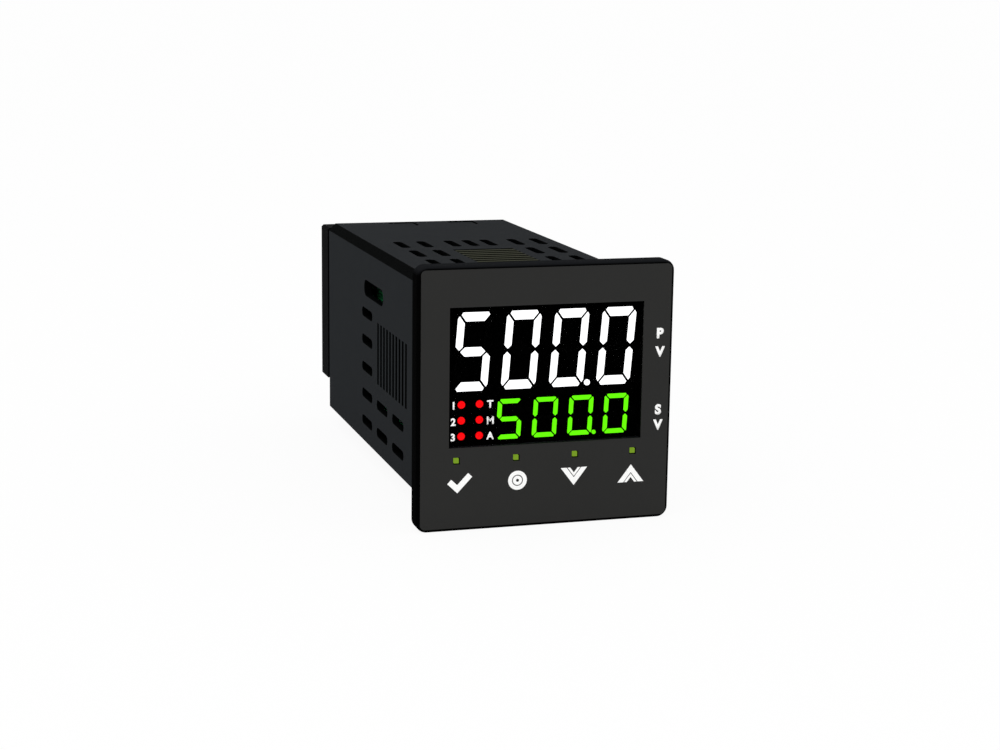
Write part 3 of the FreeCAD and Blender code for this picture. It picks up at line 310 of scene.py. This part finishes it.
def thicken(piece):
    """Give a flat mark the thickness of its ink, with its front at FILM_FRONT."""
    work_on(piece)
    bpy.ops.object.mode_set(mode="EDIT")
    bpy.ops.mesh.select_all(action="SELECT")
    bpy.ops.mesh.remove_doubles(threshold=SAME_POINT)
    bpy.ops.mesh.extrude_region_move(TRANSFORM_OT_translate={"value": (0, INK, 0)})
    bpy.ops.mesh.select_all(action="SELECT")
    bpy.ops.mesh.normals_make_consistent(inside=False)
    bpy.ops.object.mode_set(mode="OBJECT")
    front = min(vertex.co.y for vertex in piece.data.vertices)
    piece.location.y = FILM_FRONT - front
    settle(piece)


def letters(word, middle, height, bold):
    """Set one upright word, its middle and height in millimetres.

    Bold is how far the outlines of its letters are set out, in parts of their size.
    """
    bpy.ops.object.select_all(action="DESELECT")
    bpy.ops.object.text_add(rotation=(math.radians(90), 0, 0))
    piece = bpy.context.object
    piece.data.body = word
    piece.data.offset = bold
    bpy.ops.object.convert(target="MESH")
    settle(piece)
    low = Vector(map(min, zip(*(vertex.co for vertex in piece.data.vertices))))
    high = Vector(map(max, zip(*(vertex.co for vertex in piece.data.vertices))))
    scale = height * MM / (high.z - low.z)
    piece.scale = (scale, scale, scale)
    piece.location = (middle[0] * MM - scale * (low.x + high.x) / 2, 0,
                      middle[1] * MM - scale * (low.z + high.z) / 2)
    settle(piece)
    thicken(piece)
    return piece


def cut_away(point, towards):
    """Cut the mesh in edit mode along a line on the front, and drop one side of it."""
    bpy.ops.mesh.select_all(action="SELECT")
    bpy.ops.mesh.bisect(plane_co=(point[0] * MM, 0, point[1] * MM),
                        plane_no=(towards[0], 0, towards[1]), clear_outer=True)


# White screen-print ink, slightly raised: an even matt white.
ink_white = new_material(
    "white_screen_ink", "#FDFDFC",
    {"Roughness": 0.7, "IOR": 1.48, "Specular IOR Level": 0.2})
grain(ink_white, 0.2, 0.004)

marks = []
for word, middle in (("P", (21.4, 10.65)), ("V", (21.45, 7.25)),
                     ("S", (21.4, -3.5)), ("V", (21.45, -6.35))):
    marks.append(letters(word, middle, LETTER_HEIGHT, LETTER_BOLD))

# Enter key: a tick, an upright L of two arms turned on its corner.
tick = flat_sheet((0, 0), (TICK_BREADTH, TICK_BREADTH))
choose(tick, lambda place: place.x > 0)
bpy.ops.mesh.extrude_region_move(
    TRANSFORM_OT_translate={"value": (TICK_LONG_ARM * MM, 0, 0)})
choose(tick, lambda place: place.z > 0 and place.x < TICK_BREADTH * MM)
bpy.ops.mesh.extrude_region_move(
    TRANSFORM_OT_translate={"value": (0, 0, TICK_SHORT_ARM * MM)})
bpy.ops.object.mode_set(mode="OBJECT")
tick.rotation_euler = (0, math.radians(TICK_TURN), 0)
tick.location = (TICK_CORNER[0] * MM, 0, TICK_CORNER[1] * MM)
settle(tick)
thicken(tick)
marks.append(tick)

# Menu key: two rings round a small open centre, with a hair line between them.
menu_middle = (MENU_MIDDLE[0] * MM, FILM_FRONT, MENU_MIDDLE[1] * MM)
for inner, outer in MENU_RINGS:
    bpy.ops.object.select_all(action="DESELECT")
    bpy.ops.mesh.primitive_circle_add(
        vertices=64, radius=outer * MM, location=menu_middle,
        rotation=(math.radians(90), 0, 0))
    ring = bpy.context.object
    settle(ring)
    bpy.ops.object.mode_set(mode="EDIT")
    bpy.ops.mesh.select_all(action="SELECT")
    bpy.ops.mesh.extrude_edges_move()
    scale = inner / outer
    bpy.ops.transform.resize(value=(scale, scale, scale), center_override=menu_middle)
    bpy.ops.object.mode_set(mode="OBJECT")
    thicken(ring)
    marks.append(ring)


def arrow(centre, way):
    """Cut the bands of an arrow mark, 1 for up or -1 for down, and mirror each."""
    bands = []
    slope = Vector((ARROW_REACH, way * ARROW_HEIGHT)).normalized()
    away = Vector((-slope.y, slope.x)) * way
    tip = Vector((centre[0], centre[1] + way * ARROW_HEIGHT / 2))
    for offset, breadth in ARROW_BANDS:
        band = flat_sheet((centre[0] - ARROW_REACH / 2, centre[1]),
                          (ARROW_REACH, ARROW_HEIGHT))
        bpy.ops.object.mode_set(mode="EDIT")
        cut_away(tip - Vector((0, way * offset)), away)
        cut_away(tip - Vector((0, way * (offset + breadth))), -away)
        bpy.ops.object.mode_set(mode="OBJECT")
        mirror = band.modifiers.new("other_arm", "MIRROR")
        middle = bpy.data.objects.new("arrow_middle", None)
        middle.location = (centre[0] * MM, 0, 0)
        mirror.mirror_object = middle
        bpy.context.view_layer.update()
        apply_all(band)
        bpy.data.objects.remove(middle)
        thicken(band)
        bands.append(band)
    return bands


marks += arrow((5.4, -15.1), -1)
marks += arrow((16.4, -15.2), 1)
legend = join(marks, "film_legend")
give(legend, ink_white)
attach(legend, "housing")

# -------------------------------------------------------------- display window
# A clear acrylic pane with a smoke tint, let into the film's opening in front of the
# display. White letters and digits printed on it name the six lamps.
LAMP_NAME_HEIGHT, LAMP_NAME_BOLD = 1.4, 0.035

# Smoked acrylic with a matt coat against glare: dark until a segment behind is lit.
smoke = new_material(
    "smoked_acrylic", "#020202",
    {"Roughness": 0.12, "IOR": 1.49, "Specular IOR Level": 0.0, "Alpha": 0.08})
grain(smoke, 4.0, 0.002, spread=0.03)
window = copy_of("display_window", "smoked_window_pane")
recess_front(window)
give(window, smoke)
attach(window, "housing")
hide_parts("display_window")

names = []
for word, middle in (("1", (-17.35, -0.89)), ("2", (-17.4, -3.84)),
                     ("3", (-17.45, -6.64)), ("T", (-10.6, -0.89)),
                     ("M", (-10.55, -3.84)), ("A", (-10.55, -6.64))):
    names.append(letters(word, middle, LAMP_NAME_HEIGHT, LAMP_NAME_BOLD))
lamp_names = join(names, "lamp_names")
give(lamp_names, ink_white)
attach(lamp_names, "housing")

# --------------------------------------------------------------- display block
# A black moulding with a light well for each segment. The segments are clear
# diffusers cast in the wells, and light emitting dies shine through those that are on.

# Glass-filled polycarbonate: an even dull black, so that no light leaks sideways.
display_black = new_material(
    "black_reflector_block", "#010101",
    {"Roughness": 0.7, "IOR": 1.5, "Specular IOR Level": 0.0})
grain(display_black, 0.3, 0.004)
dress(display_black, "display_block")


def lit(name, colour, edge, strength):
    """Make a diffuser's glow, a little weaker in patches some 1.4 mm across."""
    material = new_material(
        name, "#000000", {"Roughness": 0.45, "IOR": 1.5, "Specular IOR Level": 0.1,
                          "Emission Strength": strength})
    places = add_node(material, "ShaderNodeTexCoord").outputs["Object"]
    cloud = add_node(material, "ShaderNodeTexNoise", {"Vector": places, "Scale": 700.0})
    glow = add_node(material, "ShaderNodeMix",
                    {SHARE: cloud.outputs["Fac"], FIRST: linear(edge),
                     SECOND: linear(colour)}, data_type="RGBA")
    feed(material, "Emission Color", glow.outputs[MIXED])
    grain(material, 0.3, 0.003)
    return material


# An unlit diffuser lies in the dark under the smoked pane and hardly shows.
unlit = new_material(
    "unlit_diffuser", "#020202",
    {"Roughness": 0.7, "IOR": 1.5, "Specular IOR Level": 0.0})
grain(unlit, 0.3, 0.003)

# The segments that are on in each of the four digits of both rows, which show 500.0.
FIVE = ("top", "upper left", "middle", "lower right", "foot")
NOUGHT = ("top", "upper left", "lower left", "foot", "lower right", "upper right")
READING = (FIVE, NOUGHT, NOUGHT + ("point",), NOUGHT)


def segment_name(across, up):
    """Name a segment by the place of its middle in its digit.

    Across goes from 0 at the digit's left to 1 at its right, and the point beside it
    lies past 1. Up goes from 0 at its foot to 1 at its top.
    """
    if across > 1.02:
        return "point"
    if up > 0.88:
        return "top"
    if up < 0.12:
        return "foot"
    if 0.42 < up < 0.58:
        return "middle"
    return ("upper " if up > 0.5 else "lower ") + ("left" if across < 0.5 else "right")


def light_up(node, name, on, left, foot, width, height, pitch, lean):
    """Part a row of digits into its segments and light those of the reading.

    Left and foot are the first digit's corner and pitch is the way to the next one,
    all in millimetres. Lean is a digit's shift to the right for each millimetre up.
    """
    row = copy_of(node, name)
    give(row, on)
    row.data.materials.append(unlit)
    bpy.ops.mesh.separate(type="LOOSE")
    segments = list(bpy.context.selected_objects)
    for segment in segments:
        spots = [vertex.co / MM for vertex in segment.data.vertices]
        middle_x = (min(spot.x for spot in spots) + max(spot.x for spot in spots)) / 2
        middle_z = (min(spot.z for spot in spots) + max(spot.z for spot in spots)) / 2
        along = middle_x - left - lean * (middle_z - foot)
        # A segment's middle may lie a little to the left of its digit's corner.
        digit = min(len(READING) - 1, int((along + 0.4) / pitch))
        shape = segment_name((along - digit * pitch) / width,
                             (middle_z - foot) / height)
        if shape not in READING[digit]:
            for face in segment.data.polygons:
                face.material_index = 1
    row = join(segments, name)
    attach(row, "housing")
    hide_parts(node)
    return row


process = light_up("process_digits", "process_reading",
                   lit("lit_white_diffuser", "#FFFFFF", "#FCFDFF", 1.75),
                   left=-17.35, foot=1.4, width=6.4, height=14.15, pitch=9.0, lean=0.078)
setpoint = light_up("setpoint_digits", "setpoint_reading",
                    lit("lit_green_diffuser", "#6CFF00", "#5CFA00", 1.35),
                    left=-9.15, foot=-7.7, width=4.55, height=7.3, pitch=6.75, lean=0.052)

# ---------------------------------------------------------------- status lamps
# Six round red diffusers in two columns beside the small digits, cast in the display
# block like the segments. A red die shines through each, for an output or a state.
LAMP_ROWS, LAMP_COLUMNS = 3, 2
LAMP_ROW_PITCH = 2.875 * MM


def evenly(first, last, count):
    """Give evenly spaced places from the first to the last."""
    return [first + step * (last - first) / (count - 1) for step in range(count)]


def rod(facets, radius, length, middle, turn):
    """Add a rod, the start of a round piece, its sizes in metres."""
    bpy.ops.object.select_all(action="DESELECT")
    bpy.ops.mesh.primitive_cylinder_add(vertices=facets, radius=radius, depth=length,
                                        location=middle, rotation=turn)
    piece = bpy.context.object
    settle(piece)
    return piece


def soften(piece, width, segments, sharp=30):
    """Bevel the edges that turn by more than sharp degrees, width in millimetres."""
    bevel = piece.modifiers.new("softened_edges", "BEVEL")
    bevel.width = width * MM
    bevel.segments = segments
    bevel.limit_method = "ANGLE"
    bevel.angle_limit = math.radians(sharp)


low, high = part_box("status_lamps")
LAMP_RADIUS = (high.z - low.z - (LAMP_ROWS - 1) * LAMP_ROW_PITCH) / 2
lenses = []
for x in evenly(low.x + LAMP_RADIUS, high.x - LAMP_RADIUS, LAMP_COLUMNS):
    for z in evenly(low.z + LAMP_RADIUS, high.z - LAMP_RADIUS, LAMP_ROWS):
        lens = rod(40, LAMP_RADIUS, high.y - low.y, (x, (low.y + high.y) / 2, z),
                   (math.radians(90), 0, 0))
        soften(lens, 0.06, 2)
        apply_all(lens)
        lenses.append(lens)
lamps = join(lenses, "red_status_lamps")
give(lamps, lit("lit_red_diffuser", "#FF0008", "#F20006", 1.3))
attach(lamps, "housing")
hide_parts("status_lamps")

# ----------------------------------------------------------- keys and switches
# Four square light pipes end at the film, one above each key. Behind the film each
# moulded key rests on the stem of a push switch that is soldered to the board.
key_green = lit("green_light_pipe", "#6E8C20", "#608018", 1.3)
dress(key_green, "key_lamps")

# Grey moulded ABS keys, smooth where they slide.
key_grey = new_material(
    "grey_abs_key", "#4A4A4A",
    {"Roughness": 0.5, "IOR": 1.53, "Specular IOR Level": 0.4})
grain(key_grey, 0.3, 0.004)
dress(key_grey, "enter_key", "menu_key", "down_key", "up_key")

# Glass-filled nylon of the switches: dull, with a faint mottle.
nylon = new_material(
    "black_switch_nylon", "#191919",
    {"Roughness": 0.6, "IOR": 1.53, "Specular IOR Level": 0.4})
grain(nylon, 0.25, 0.006)
dress(nylon, "key_switches", "enter_switch_stem", "menu_switch_stem",
      "down_switch_stem", "up_switch_stem")

# ----------------------------------------------------------------- case sleeve
# The body of the instrument is one deep tube, moulded in black flame-retardant
# plastic with vent slots and two grilles. Its long edges are chamfered.

# How far out the flat faces lie, and where the ribs of the top grille lie, each as a
# middle and what is allowed on either side of it.
FLAT_FACE, FLAT_FACE_PLAY = 20.4 * MM, 0.3 * MM
RIBS_ACROSS, RIBS_HALF_WIDTH = 1.0 * MM, 6.1 * MM
RIBS_ALONG, RIBS_HALF_LENGTH = 29.25 * MM, 11.7 * MM

# Textured flame-retardant plastic: dull, and almost without shine.
case_black = new_material(
    "textured_case_plastic", "#252729",
    {"Roughness": 0.85, "IOR": 1.55, "Specular IOR Level": 0.006})

# Only the flat outer faces are grey, those whose normal looks straight away from the
# middle. The chamfers, slot walls and inside, grained alike, are painted black: painted
# shade.
surface = add_node(case_black, "ShaderNodeNewGeometry")
places = add_node(case_black, "ShaderNodeTexCoord")
across = add_node(case_black, "ShaderNodeVectorMath",
                  {0: places.outputs["Object"], 1: (1, 0, 1)}, operation="MULTIPLY")
depth = add_node(case_black, "ShaderNodeVectorMath",
                 {0: across.outputs[0], 1: surface.outputs["True Normal"]},
                 operation="DOT_PRODUCT")
flat = add_node(case_black, "ShaderNodeMath",
                {0: depth.outputs["Value"], 1: FLAT_FACE, 2: FLAT_FACE_PLAY},
                operation="COMPARE")
# The ribs between the slots of the top grille are painted paler and browner: a painted
# highlight.
spot = add_node(case_black, "ShaderNodeSeparateXYZ",
                {"Vector": places.outputs["Object"]})
beside = add_node(case_black, "ShaderNodeMath",
                  {0: spot.outputs["X"], 1: RIBS_ACROSS, 2: RIBS_HALF_WIDTH},
                  operation="COMPARE")
along = add_node(case_black, "ShaderNodeMath",
                 {0: spot.outputs["Y"], 1: RIBS_ALONG, 2: RIBS_HALF_LENGTH},
                 operation="COMPARE")
ribs = add_node(case_black, "ShaderNodeMath", {0: beside.outputs[0], 1: along.outputs[0]},
                operation="MULTIPLY")
outer = add_node(case_black, "ShaderNodeMix",
                 {SHARE: ribs.outputs[0], FIRST: linear("#252729"),
                  SECOND: linear("#3D3E33")}, data_type="RGBA")
ground = add_node(case_black, "ShaderNodeMix",
                  {SHARE: flat.outputs[0], FIRST: linear("#030404"),
                   SECOND: outer.outputs[MIXED]}, data_type="RGBA")
feed(case_black, "Base Color", ground.outputs[MIXED])
grain(case_black, 0.28, 0.01)


def rounded(node, name, material, width, segments=2):
    """Stand for a CAD node with a copy whose sharp edges are slightly rounded."""
    piece = copy_of(node, name)
    bpy.ops.object.mode_set(mode="EDIT")
    bpy.ops.mesh.select_all(action="SELECT")
    bpy.ops.mesh.dissolve_limited(angle_limit=math.radians(1))
    bpy.ops.object.mode_set(mode="OBJECT")
    soften(piece, width, segments)
    apply_all(piece)
    bpy.ops.object.shade_smooth_by_angle(angle=math.radians(35))
    give(piece, material)
    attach(piece, "housing")
    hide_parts(node)
    return piece


sleeve = rounded("case_sleeve", "vented_sleeve", case_black, 0.12)
bpy.ops.object.shade_flat()

# -------------------------------------------------------------- circuit boards
# Glass-epoxy boards 1.6 mm thick: one behind the keys and display, and one along each
# side of the case. Green solder mask covers the copper tracks.
TRACK_HALF_WIDTH, TRACK_RUN, TRACK_PITCH = 0.15 * MM, 5.1 * MM, 1.3 * MM
PAD_PITCH, PAD_SHARE = 2.6 * MM, 0.14


def board_material(name, along, up):
    """Make a solder-masked board: tracks that show through the mask, and bare pads."""
    material = new_material(
        name, "#0F5A2C", {"Roughness": 0.32, "IOR": 1.5, "Specular IOR Level": 0.4})
    places = add_node(material, "ShaderNodeTexCoord").outputs["Object"]
    parts = add_node(material, "ShaderNodeSeparateXYZ", {"Vector": places})
    flat = add_node(material, "ShaderNodeCombineXYZ",
                    {"X": parts.outputs[along], "Y": parts.outputs[up]})
    # Copper tracks, in short straight runs.
    tracks = add_node(material, "ShaderNodeTexBrick",
                      {"Vector": flat.outputs[0], "Color1": (0, 0, 0, 1),
                       "Color2": (0, 0, 0, 1), "Mortar": (1, 1, 1, 1), "Scale": 1.0,
                       "Mortar Size": TRACK_HALF_WIDTH, "Mortar Smooth": 0.1,
                       "Brick Width": TRACK_RUN, "Row Height": TRACK_PITCH},
                      offset=0.37)
    # Both greens of the mask are painted lighter than the mask itself: painted light for
    # the dim inside of the case.
    masked = add_node(material, "ShaderNodeMix",
                      {SHARE: tracks.outputs["Color"], FIRST: linear("#15653A"),
                       SECOND: linear("#2A9456")}, data_type="RGBA")
    # Tinned pads, round and about 0.7 mm across.
    pads = add_node(material, "ShaderNodeTexVoronoi",
                    {"Vector": flat.outputs[0], "Scale": 1 / PAD_PITCH,
                     "Randomness": 0.6})
    bare = add_node(material, "ShaderNodeMath",
                    {0: pads.outputs["Distance"], 1: PAD_SHARE}, operation="LESS_THAN")
    face = add_node(material, "ShaderNodeMix",
                    {SHARE: bare.outputs[0], FIRST: masked.outputs[MIXED],
                     SECOND: linear("#B9B7AC")}, data_type="RGBA")
    relief = add_node(material, "ShaderNodeBump",
                      {"Height": tracks.outputs["Color"], "Distance": 0.03 * MM})
    feed(material, "Base Color", face.outputs[MIXED])
    feed(material, "Metallic", bare.outputs[0])
    feed(material, "Normal", relief.outputs["Normal"])
    return material


dress(board_material("green_solder_mask_front", "X", "Z"), "display_board")
dress(board_material("green_solder_mask_side", "Y", "Z"), "power_board", "logic_board")

# Black glass-filled polyester of the header strips, which carry the signals between
# the boards, and of the transformer's base: dull, with a coarse grain.
header_black = new_material(
    "black_header_polyester", "#1B1B1B",
    {"Roughness": 0.55, "IOR": 1.57, "Specular IOR Level": 0.4})
grain(header_black, 0.3, 0.01)
dress(header_black, "board_headers", "transformer_base")

# ----------------------------------------------------------------- transformer
# Two pressed ferrite halves are glued round a wound bobbin that is wrapped in yellow
# tape. The bobbin's base stands on the power board.
TAPE_WIDTH = 3 * MM

# Sintered ferrite: dark, dense and slightly sparkling.
ferrite = new_material(
    "sintered_ferrite", "#3A3A3D", {"Roughness": 0.5, "Metallic": 0.4})
grain(ferrite, 0.2, 0.008)
rounded("transformer_core", "ferrite_core", ferrite, 0.3)

# Polyester tape, smooth and wound in overlapping turns. A wave of scale 1 repeats
# every pi / 10 metres, so this scale gives a turn for each width of the tape.
tape = new_material(
    "yellow_polyester_tape", "#D9A514",
    {"Roughness": 0.35, "IOR": 1.6, "Specular IOR Level": 0.5})
places = add_node(tape, "ShaderNodeTexCoord").outputs["Object"]
turns = add_node(tape, "ShaderNodeTexWave",
                 {"Vector": places, "Scale": math.pi / 10 / TAPE_WIDTH,
                  "Distortion": 0.4}, bands_direction="Z", wave_profile="SAW")
hue = add_node(tape, "ShaderNodeMix",
               {SHARE: turns.outputs["Fac"], FIRST: linear("#C58F0A"),
                SECOND: linear("#E3B32A")}, data_type="RGBA")
feed(tape, "Base Color", hue.outputs[MIXED])
lap = add_node(tape, "ShaderNodeBump",
               {"Height": turns.outputs["Fac"], "Distance": 0.08 * MM})
feed(tape, "Normal", lap.outputs["Normal"])
rounded("transformer_winding", "taped_winding", tape, 0.6, 3)

# ------------------------------------------------------------------ capacitors
# Two electrolytic cans in heat-shrunk sleeves lie across the power board, and a
# yellow box capacitor stands behind them. Each can has a rolled groove near its foot.
GROOVE_CUTS = (1.2, 1.6, 2.2, 2.6)      # millimetres from the foot, shoulders outside
GROOVE_NECK = 0.9                       # of the can's radius

low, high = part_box("filter_capacitors")
CAN_RADIUS = (high.y - low.y) / 2
middle_y = (low.y + high.y) / 2
cans = []
for middle_z in (low.z + CAN_RADIUS, high.z - CAN_RADIUS):
    can = rod(48, CAN_RADIUS, high.x - low.x,
              ((low.x + high.x) / 2, middle_y, middle_z), (0, math.radians(90), 0))
    bpy.ops.object.mode_set(mode="EDIT")
    for cut in GROOVE_CUTS:
        bpy.ops.mesh.select_all(action="SELECT")
        bpy.ops.mesh.bisect(plane_co=(low.x + cut * MM, 0, 0), plane_no=(1, 0, 0))
    choose(can, lambda place: GROOVE_CUTS[1] * MM - NEAR < place.x - low.x
           < GROOVE_CUTS[2] * MM + NEAR)
    bpy.ops.transform.resize(value=(1, GROOVE_NECK, GROOVE_NECK),
                             center_override=(0, middle_y, middle_z))
    bpy.ops.object.mode_set(mode="OBJECT")
    soften(can, 0.18, 3, sharp=40)
    apply_all(can)
    bpy.ops.object.shade_smooth_by_angle(angle=math.radians(50))
    cans.append(can)
cans = join(cans, "electrolytic_cans")

# Heat-shrunk sleeve over each can: smooth dark blue, with a soft shine.
sleeve_blue = new_material(
    "heat_shrunk_sleeve", "#141C33",
    {"Roughness": 0.3, "IOR": 1.54, "Specular IOR Level": 0.5})
grain(sleeve_blue, 0.6, 0.01)
give(cans, sleeve_blue)
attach(cans, "housing")
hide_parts("filter_capacitors")

# Potted box capacitor: a smooth yellow shell with slightly uneven gloss.
box_yellow = new_material(
    "yellow_capacitor_box", "#D9B021",
    {"Roughness": 0.35, "IOR": 1.55, "Specular IOR Level": 0.5})
grain(box_yellow, 0.5, 0.008)
rounded("mains_capacitor", "box_capacitor", box_yellow, 0.6, 3)

# --------------------------------------------------------------- output relays
# Two sealed relays in blue moulded covers, which switch the controller's outputs.
# They are soldered to the logic board, one above the other.

# Blue polyester of the covers: smooth, with a faint moulded grain.
relay_blue = new_material(
    "blue_relay_cover", "#1E4E8C",
    {"Roughness": 0.38, "IOR": 1.55, "Specular IOR Level": 0.5})
grain(relay_blue, 0.35, 0.006)
rounded("output_relays", "relay_covers", relay_blue, 0.5, 3)

# ------------------------------------------------------------------- processor
# A moulded chip on tinned leads, with a pressed metal can for its clock crystal. Both
# are soldered to the logic board.

# Moulded epoxy of the chip: black and dull, with a fine grain.
epoxy = new_material(
    "black_chip_epoxy", "#151515",
    {"Roughness": 0.6, "IOR": 1.55, "Specular IOR Level": 0.4})
grain(epoxy, 0.15, 0.006)
rounded("processor_chip", "moulded_chip", epoxy, 0.15)

# Bright tin plate: a soft, slightly mottled shine.
tin = new_material(
    "tin_plate", "#C9C8C2", {"Roughness": 0.3, "Metallic": 1.0})
grain(tin, 0.4, 0.004)
dress(tin, "processor_leads")
rounded("clock_crystal", "crystal_can", tin, 0.6, 3)

# -------------------------------------------------------------- terminal block
# The rear cover and the eighteen screw terminals' housing are one moulding in black
# flame-retardant polyester, plugged into the rear of the sleeve. A contact plate and
# a wire clamp lie in each of its pockets.

# Moulded polyester: black and dull. The faces that look to the rear are a little
# greyer than the sides.
block_black = new_material(
    "black_terminal_polyester", "#050506",
    {"Roughness": 0.6, "IOR": 1.57, "Specular IOR Level": 0.003})
tint_by_facing(block_black, "Y", start=0.3, full=0.8, plain="#050506", tinted="#1D1E1F")
grain(block_black, 0.3, 0.012)
dress(block_black, "terminal_block")

# Tinned brass plates at the bottom of each pocket carry the current.
brass = new_material(
    "tinned_brass", "#CDBB8C", {"Roughness": 0.32, "Metallic": 1.0})
grain(brass, 0.5, 0.004)
dress(brass, "terminal_contacts")

# Zinc-plated steel: pale, with a bluish cloud and fine press marks.
zinc = new_material(
    "zinc_plated_steel", "#B9BDC0", {"Roughness": 0.34, "Metallic": 1.0})
grain(zinc, 0.35, 0.006)
dress(zinc, "wire_clamps")

# ------------------------------------------------------------- terminal screws
# Cheese-head screws of zinc-plated steel, turned with a slot, one in each terminal.
# Each presses its clamp plate down on a wire.
SCREW_ROWS, SCREW_COLUMNS = 6, 3
HEAD_RADIUS, HEAD_DEPTH = 1.75 * MM, 1.5 * MM
SHANK_RADIUS = 1.152 * MM
SLOT_WIDTH, SLOT_DEPTH = 0.6 * MM, 0.7 * MM

low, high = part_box("terminal_screws")
screw = rod(40, HEAD_RADIUS, HEAD_DEPTH, (0, high.y - HEAD_DEPTH / 2, 0),
            (math.radians(90), 0, 0))
choose(screw, lambda place: place.y < high.y - HEAD_DEPTH / 2)
bpy.ops.mesh.select_mode(type="FACE")
bpy.ops.mesh.inset(thickness=HEAD_RADIUS - SHANK_RADIUS)
bpy.ops.mesh.extrude_region_move(
    TRANSFORM_OT_translate={"value": (0, low.y - high.y + HEAD_DEPTH, 0)})
bpy.ops.object.mode_set(mode="OBJECT")
soften(screw, 0.22, 3, sharp=60)
bpy.ops.object.select_all(action="DESELECT")
bpy.ops.mesh.primitive_cube_add(size=1, location=(0, high.y, 0))
blade = bpy.context.object
blade.scale = (2.4 * HEAD_RADIUS, 2 * SLOT_DEPTH, SLOT_WIDTH)
settle(blade)
slot = screw.modifiers.new("slot", "BOOLEAN")
slot.object = blade
slot.operation = "DIFFERENCE"
slot.solver = "EXACT"
apply_all(screw)
bpy.data.objects.remove(blade)
bpy.ops.object.shade_smooth_by_angle(angle=math.radians(35))
screws = []
for column, x in enumerate(evenly(low.x + HEAD_RADIUS, high.x - HEAD_RADIUS,
                                  SCREW_COLUMNS)):
    for row, z in enumerate(evenly(low.z + HEAD_RADIUS, high.z - HEAD_RADIUS,
                                   SCREW_ROWS)):
        one = screw.copy()
        one.data = screw.data.copy()
        bpy.context.scene.collection.objects.link(one)
        # Driven home by hand, each slot stands at its own angle.
        one.rotation_euler = (0, math.radians((column * 97 + row * 53) % 180 - 90), 0)
        one.location = (x, 0, z)
        settle(one)
        screws.append(one)
bpy.data.objects.remove(screw)
screws = join(screws, "slotted_terminal_screws")
give(screws, zinc)
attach(screws, "housing")
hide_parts("terminal_screws")

# ------------------------------------------------------------- floor and light
# A pale floor lies under the instrument. Daylight comes evenly from all round, and
# one large soft lamp stands in front, to the left and above.
FLOOR_GLOW = 0.93
ROOM_LIGHT = 0.93


def seen_straight(owner):
    """Give 1 for what the camera sees, also by reflection or through a clear piece."""
    rays = add_node(owner, "ShaderNodeLightPath")
    seen = rays.outputs["Is Camera Ray"]
    for kind in ("Is Glossy Ray", "Is Transmission Ray"):
        seen = add_node(owner, "ShaderNodeMath", {0: seen, 1: rays.outputs[kind]},
                        operation="MAXIMUM").outputs[0]
    return seen


low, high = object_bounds()
bpy.ops.object.select_all(action="DESELECT")
bpy.ops.mesh.primitive_plane_add(size=24, location=(0, 8, low.z))
floor = bpy.context.object
floor.name = "studio_floor"

# Matt white paint. Most of its white is a glow of its own, so that it shows pale all
# over and still keeps a little of the instrument's shadow.
floor_paint = new_material(
    "pale_floor", "#F2F2F2", {"Roughness": 0.9, "Specular IOR Level": 0.1})
share = add_node(floor_paint, "ShaderNodeMath",
                 {0: seen_straight(floor_paint), 1: FLOOR_GLOW}, operation="MULTIPLY")
white = add_node(floor_paint, "ShaderNodeEmission",
                 {"Color": (1, 1, 1, 1), "Strength": 1.0})
blend = add_node(floor_paint, "ShaderNodeMixShader",
                 {0: share.outputs[0], 1: shader_of(floor_paint).outputs[0],
                  2: white.outputs[0]})
output = floor_paint.node_tree.nodes["Material Output"]
floor_paint.node_tree.links.new(blend.outputs[0], output.inputs["Surface"])
give(floor, floor_paint)

# White light from all round, a little weaker on surfaces than it is to the eye.
world = bpy.data.worlds.new("soft_white_room")
bpy.context.scene.world = world
world.use_nodes = True
strength = add_node(world, "ShaderNodeMapRange",
                    {"Value": seen_straight(world), "To Min": ROOM_LIGHT,
                     "To Max": 1.0})
sky = world.node_tree.nodes["Background"]
sky.inputs["Color"].default_value = (1, 1, 1, 1)
world.node_tree.links.new(strength.outputs["Result"], sky.inputs["Strength"])

# The lamp gives the fronts and tops a soft brightness and aims at the case.
lamp_data = bpy.data.lights.new("large_soft_lamp", "AREA")
lamp_data.shape = "SQUARE"
lamp_data.size = 0.6
lamp_data.energy = 1.3
lamp = bpy.data.objects.new("large_soft_lamp", lamp_data)
lamp.location = (-0.25, -0.45, 0.55)
aim = Vector((0, 0.03, 0)) - lamp.location
lamp.rotation_euler = aim.to_track_quat("-Z", "Y").to_euler()
bpy.context.scene.collection.objects.link(lamp)

# ---------------------------------------------------------------------- camera
# The viewer stands at the front left, a little above the instrument, a third of a
# metre from its front.
CAMERA_PLACE = (-0.107631, -0.326946, 0.072855)
CAMERA_TURNS = (78.522, -0.767, -16.850)

camera_data = bpy.data.cameras.new("front_left_camera")
camera_data.sensor_width = 36
camera_data.lens = 69.945
camera_data.clip_start = 0.01
camera = bpy.data.objects.new("front_left_camera", camera_data)
camera.location = CAMERA_PLACE
camera.rotation_euler = Euler([math.radians(turn) for turn in CAMERA_TURNS])
bpy.context.scene.collection.objects.link(camera)
bpy.context.scene.camera = camera
bpy.context.scene.view_settings.view_transform = "Standard"
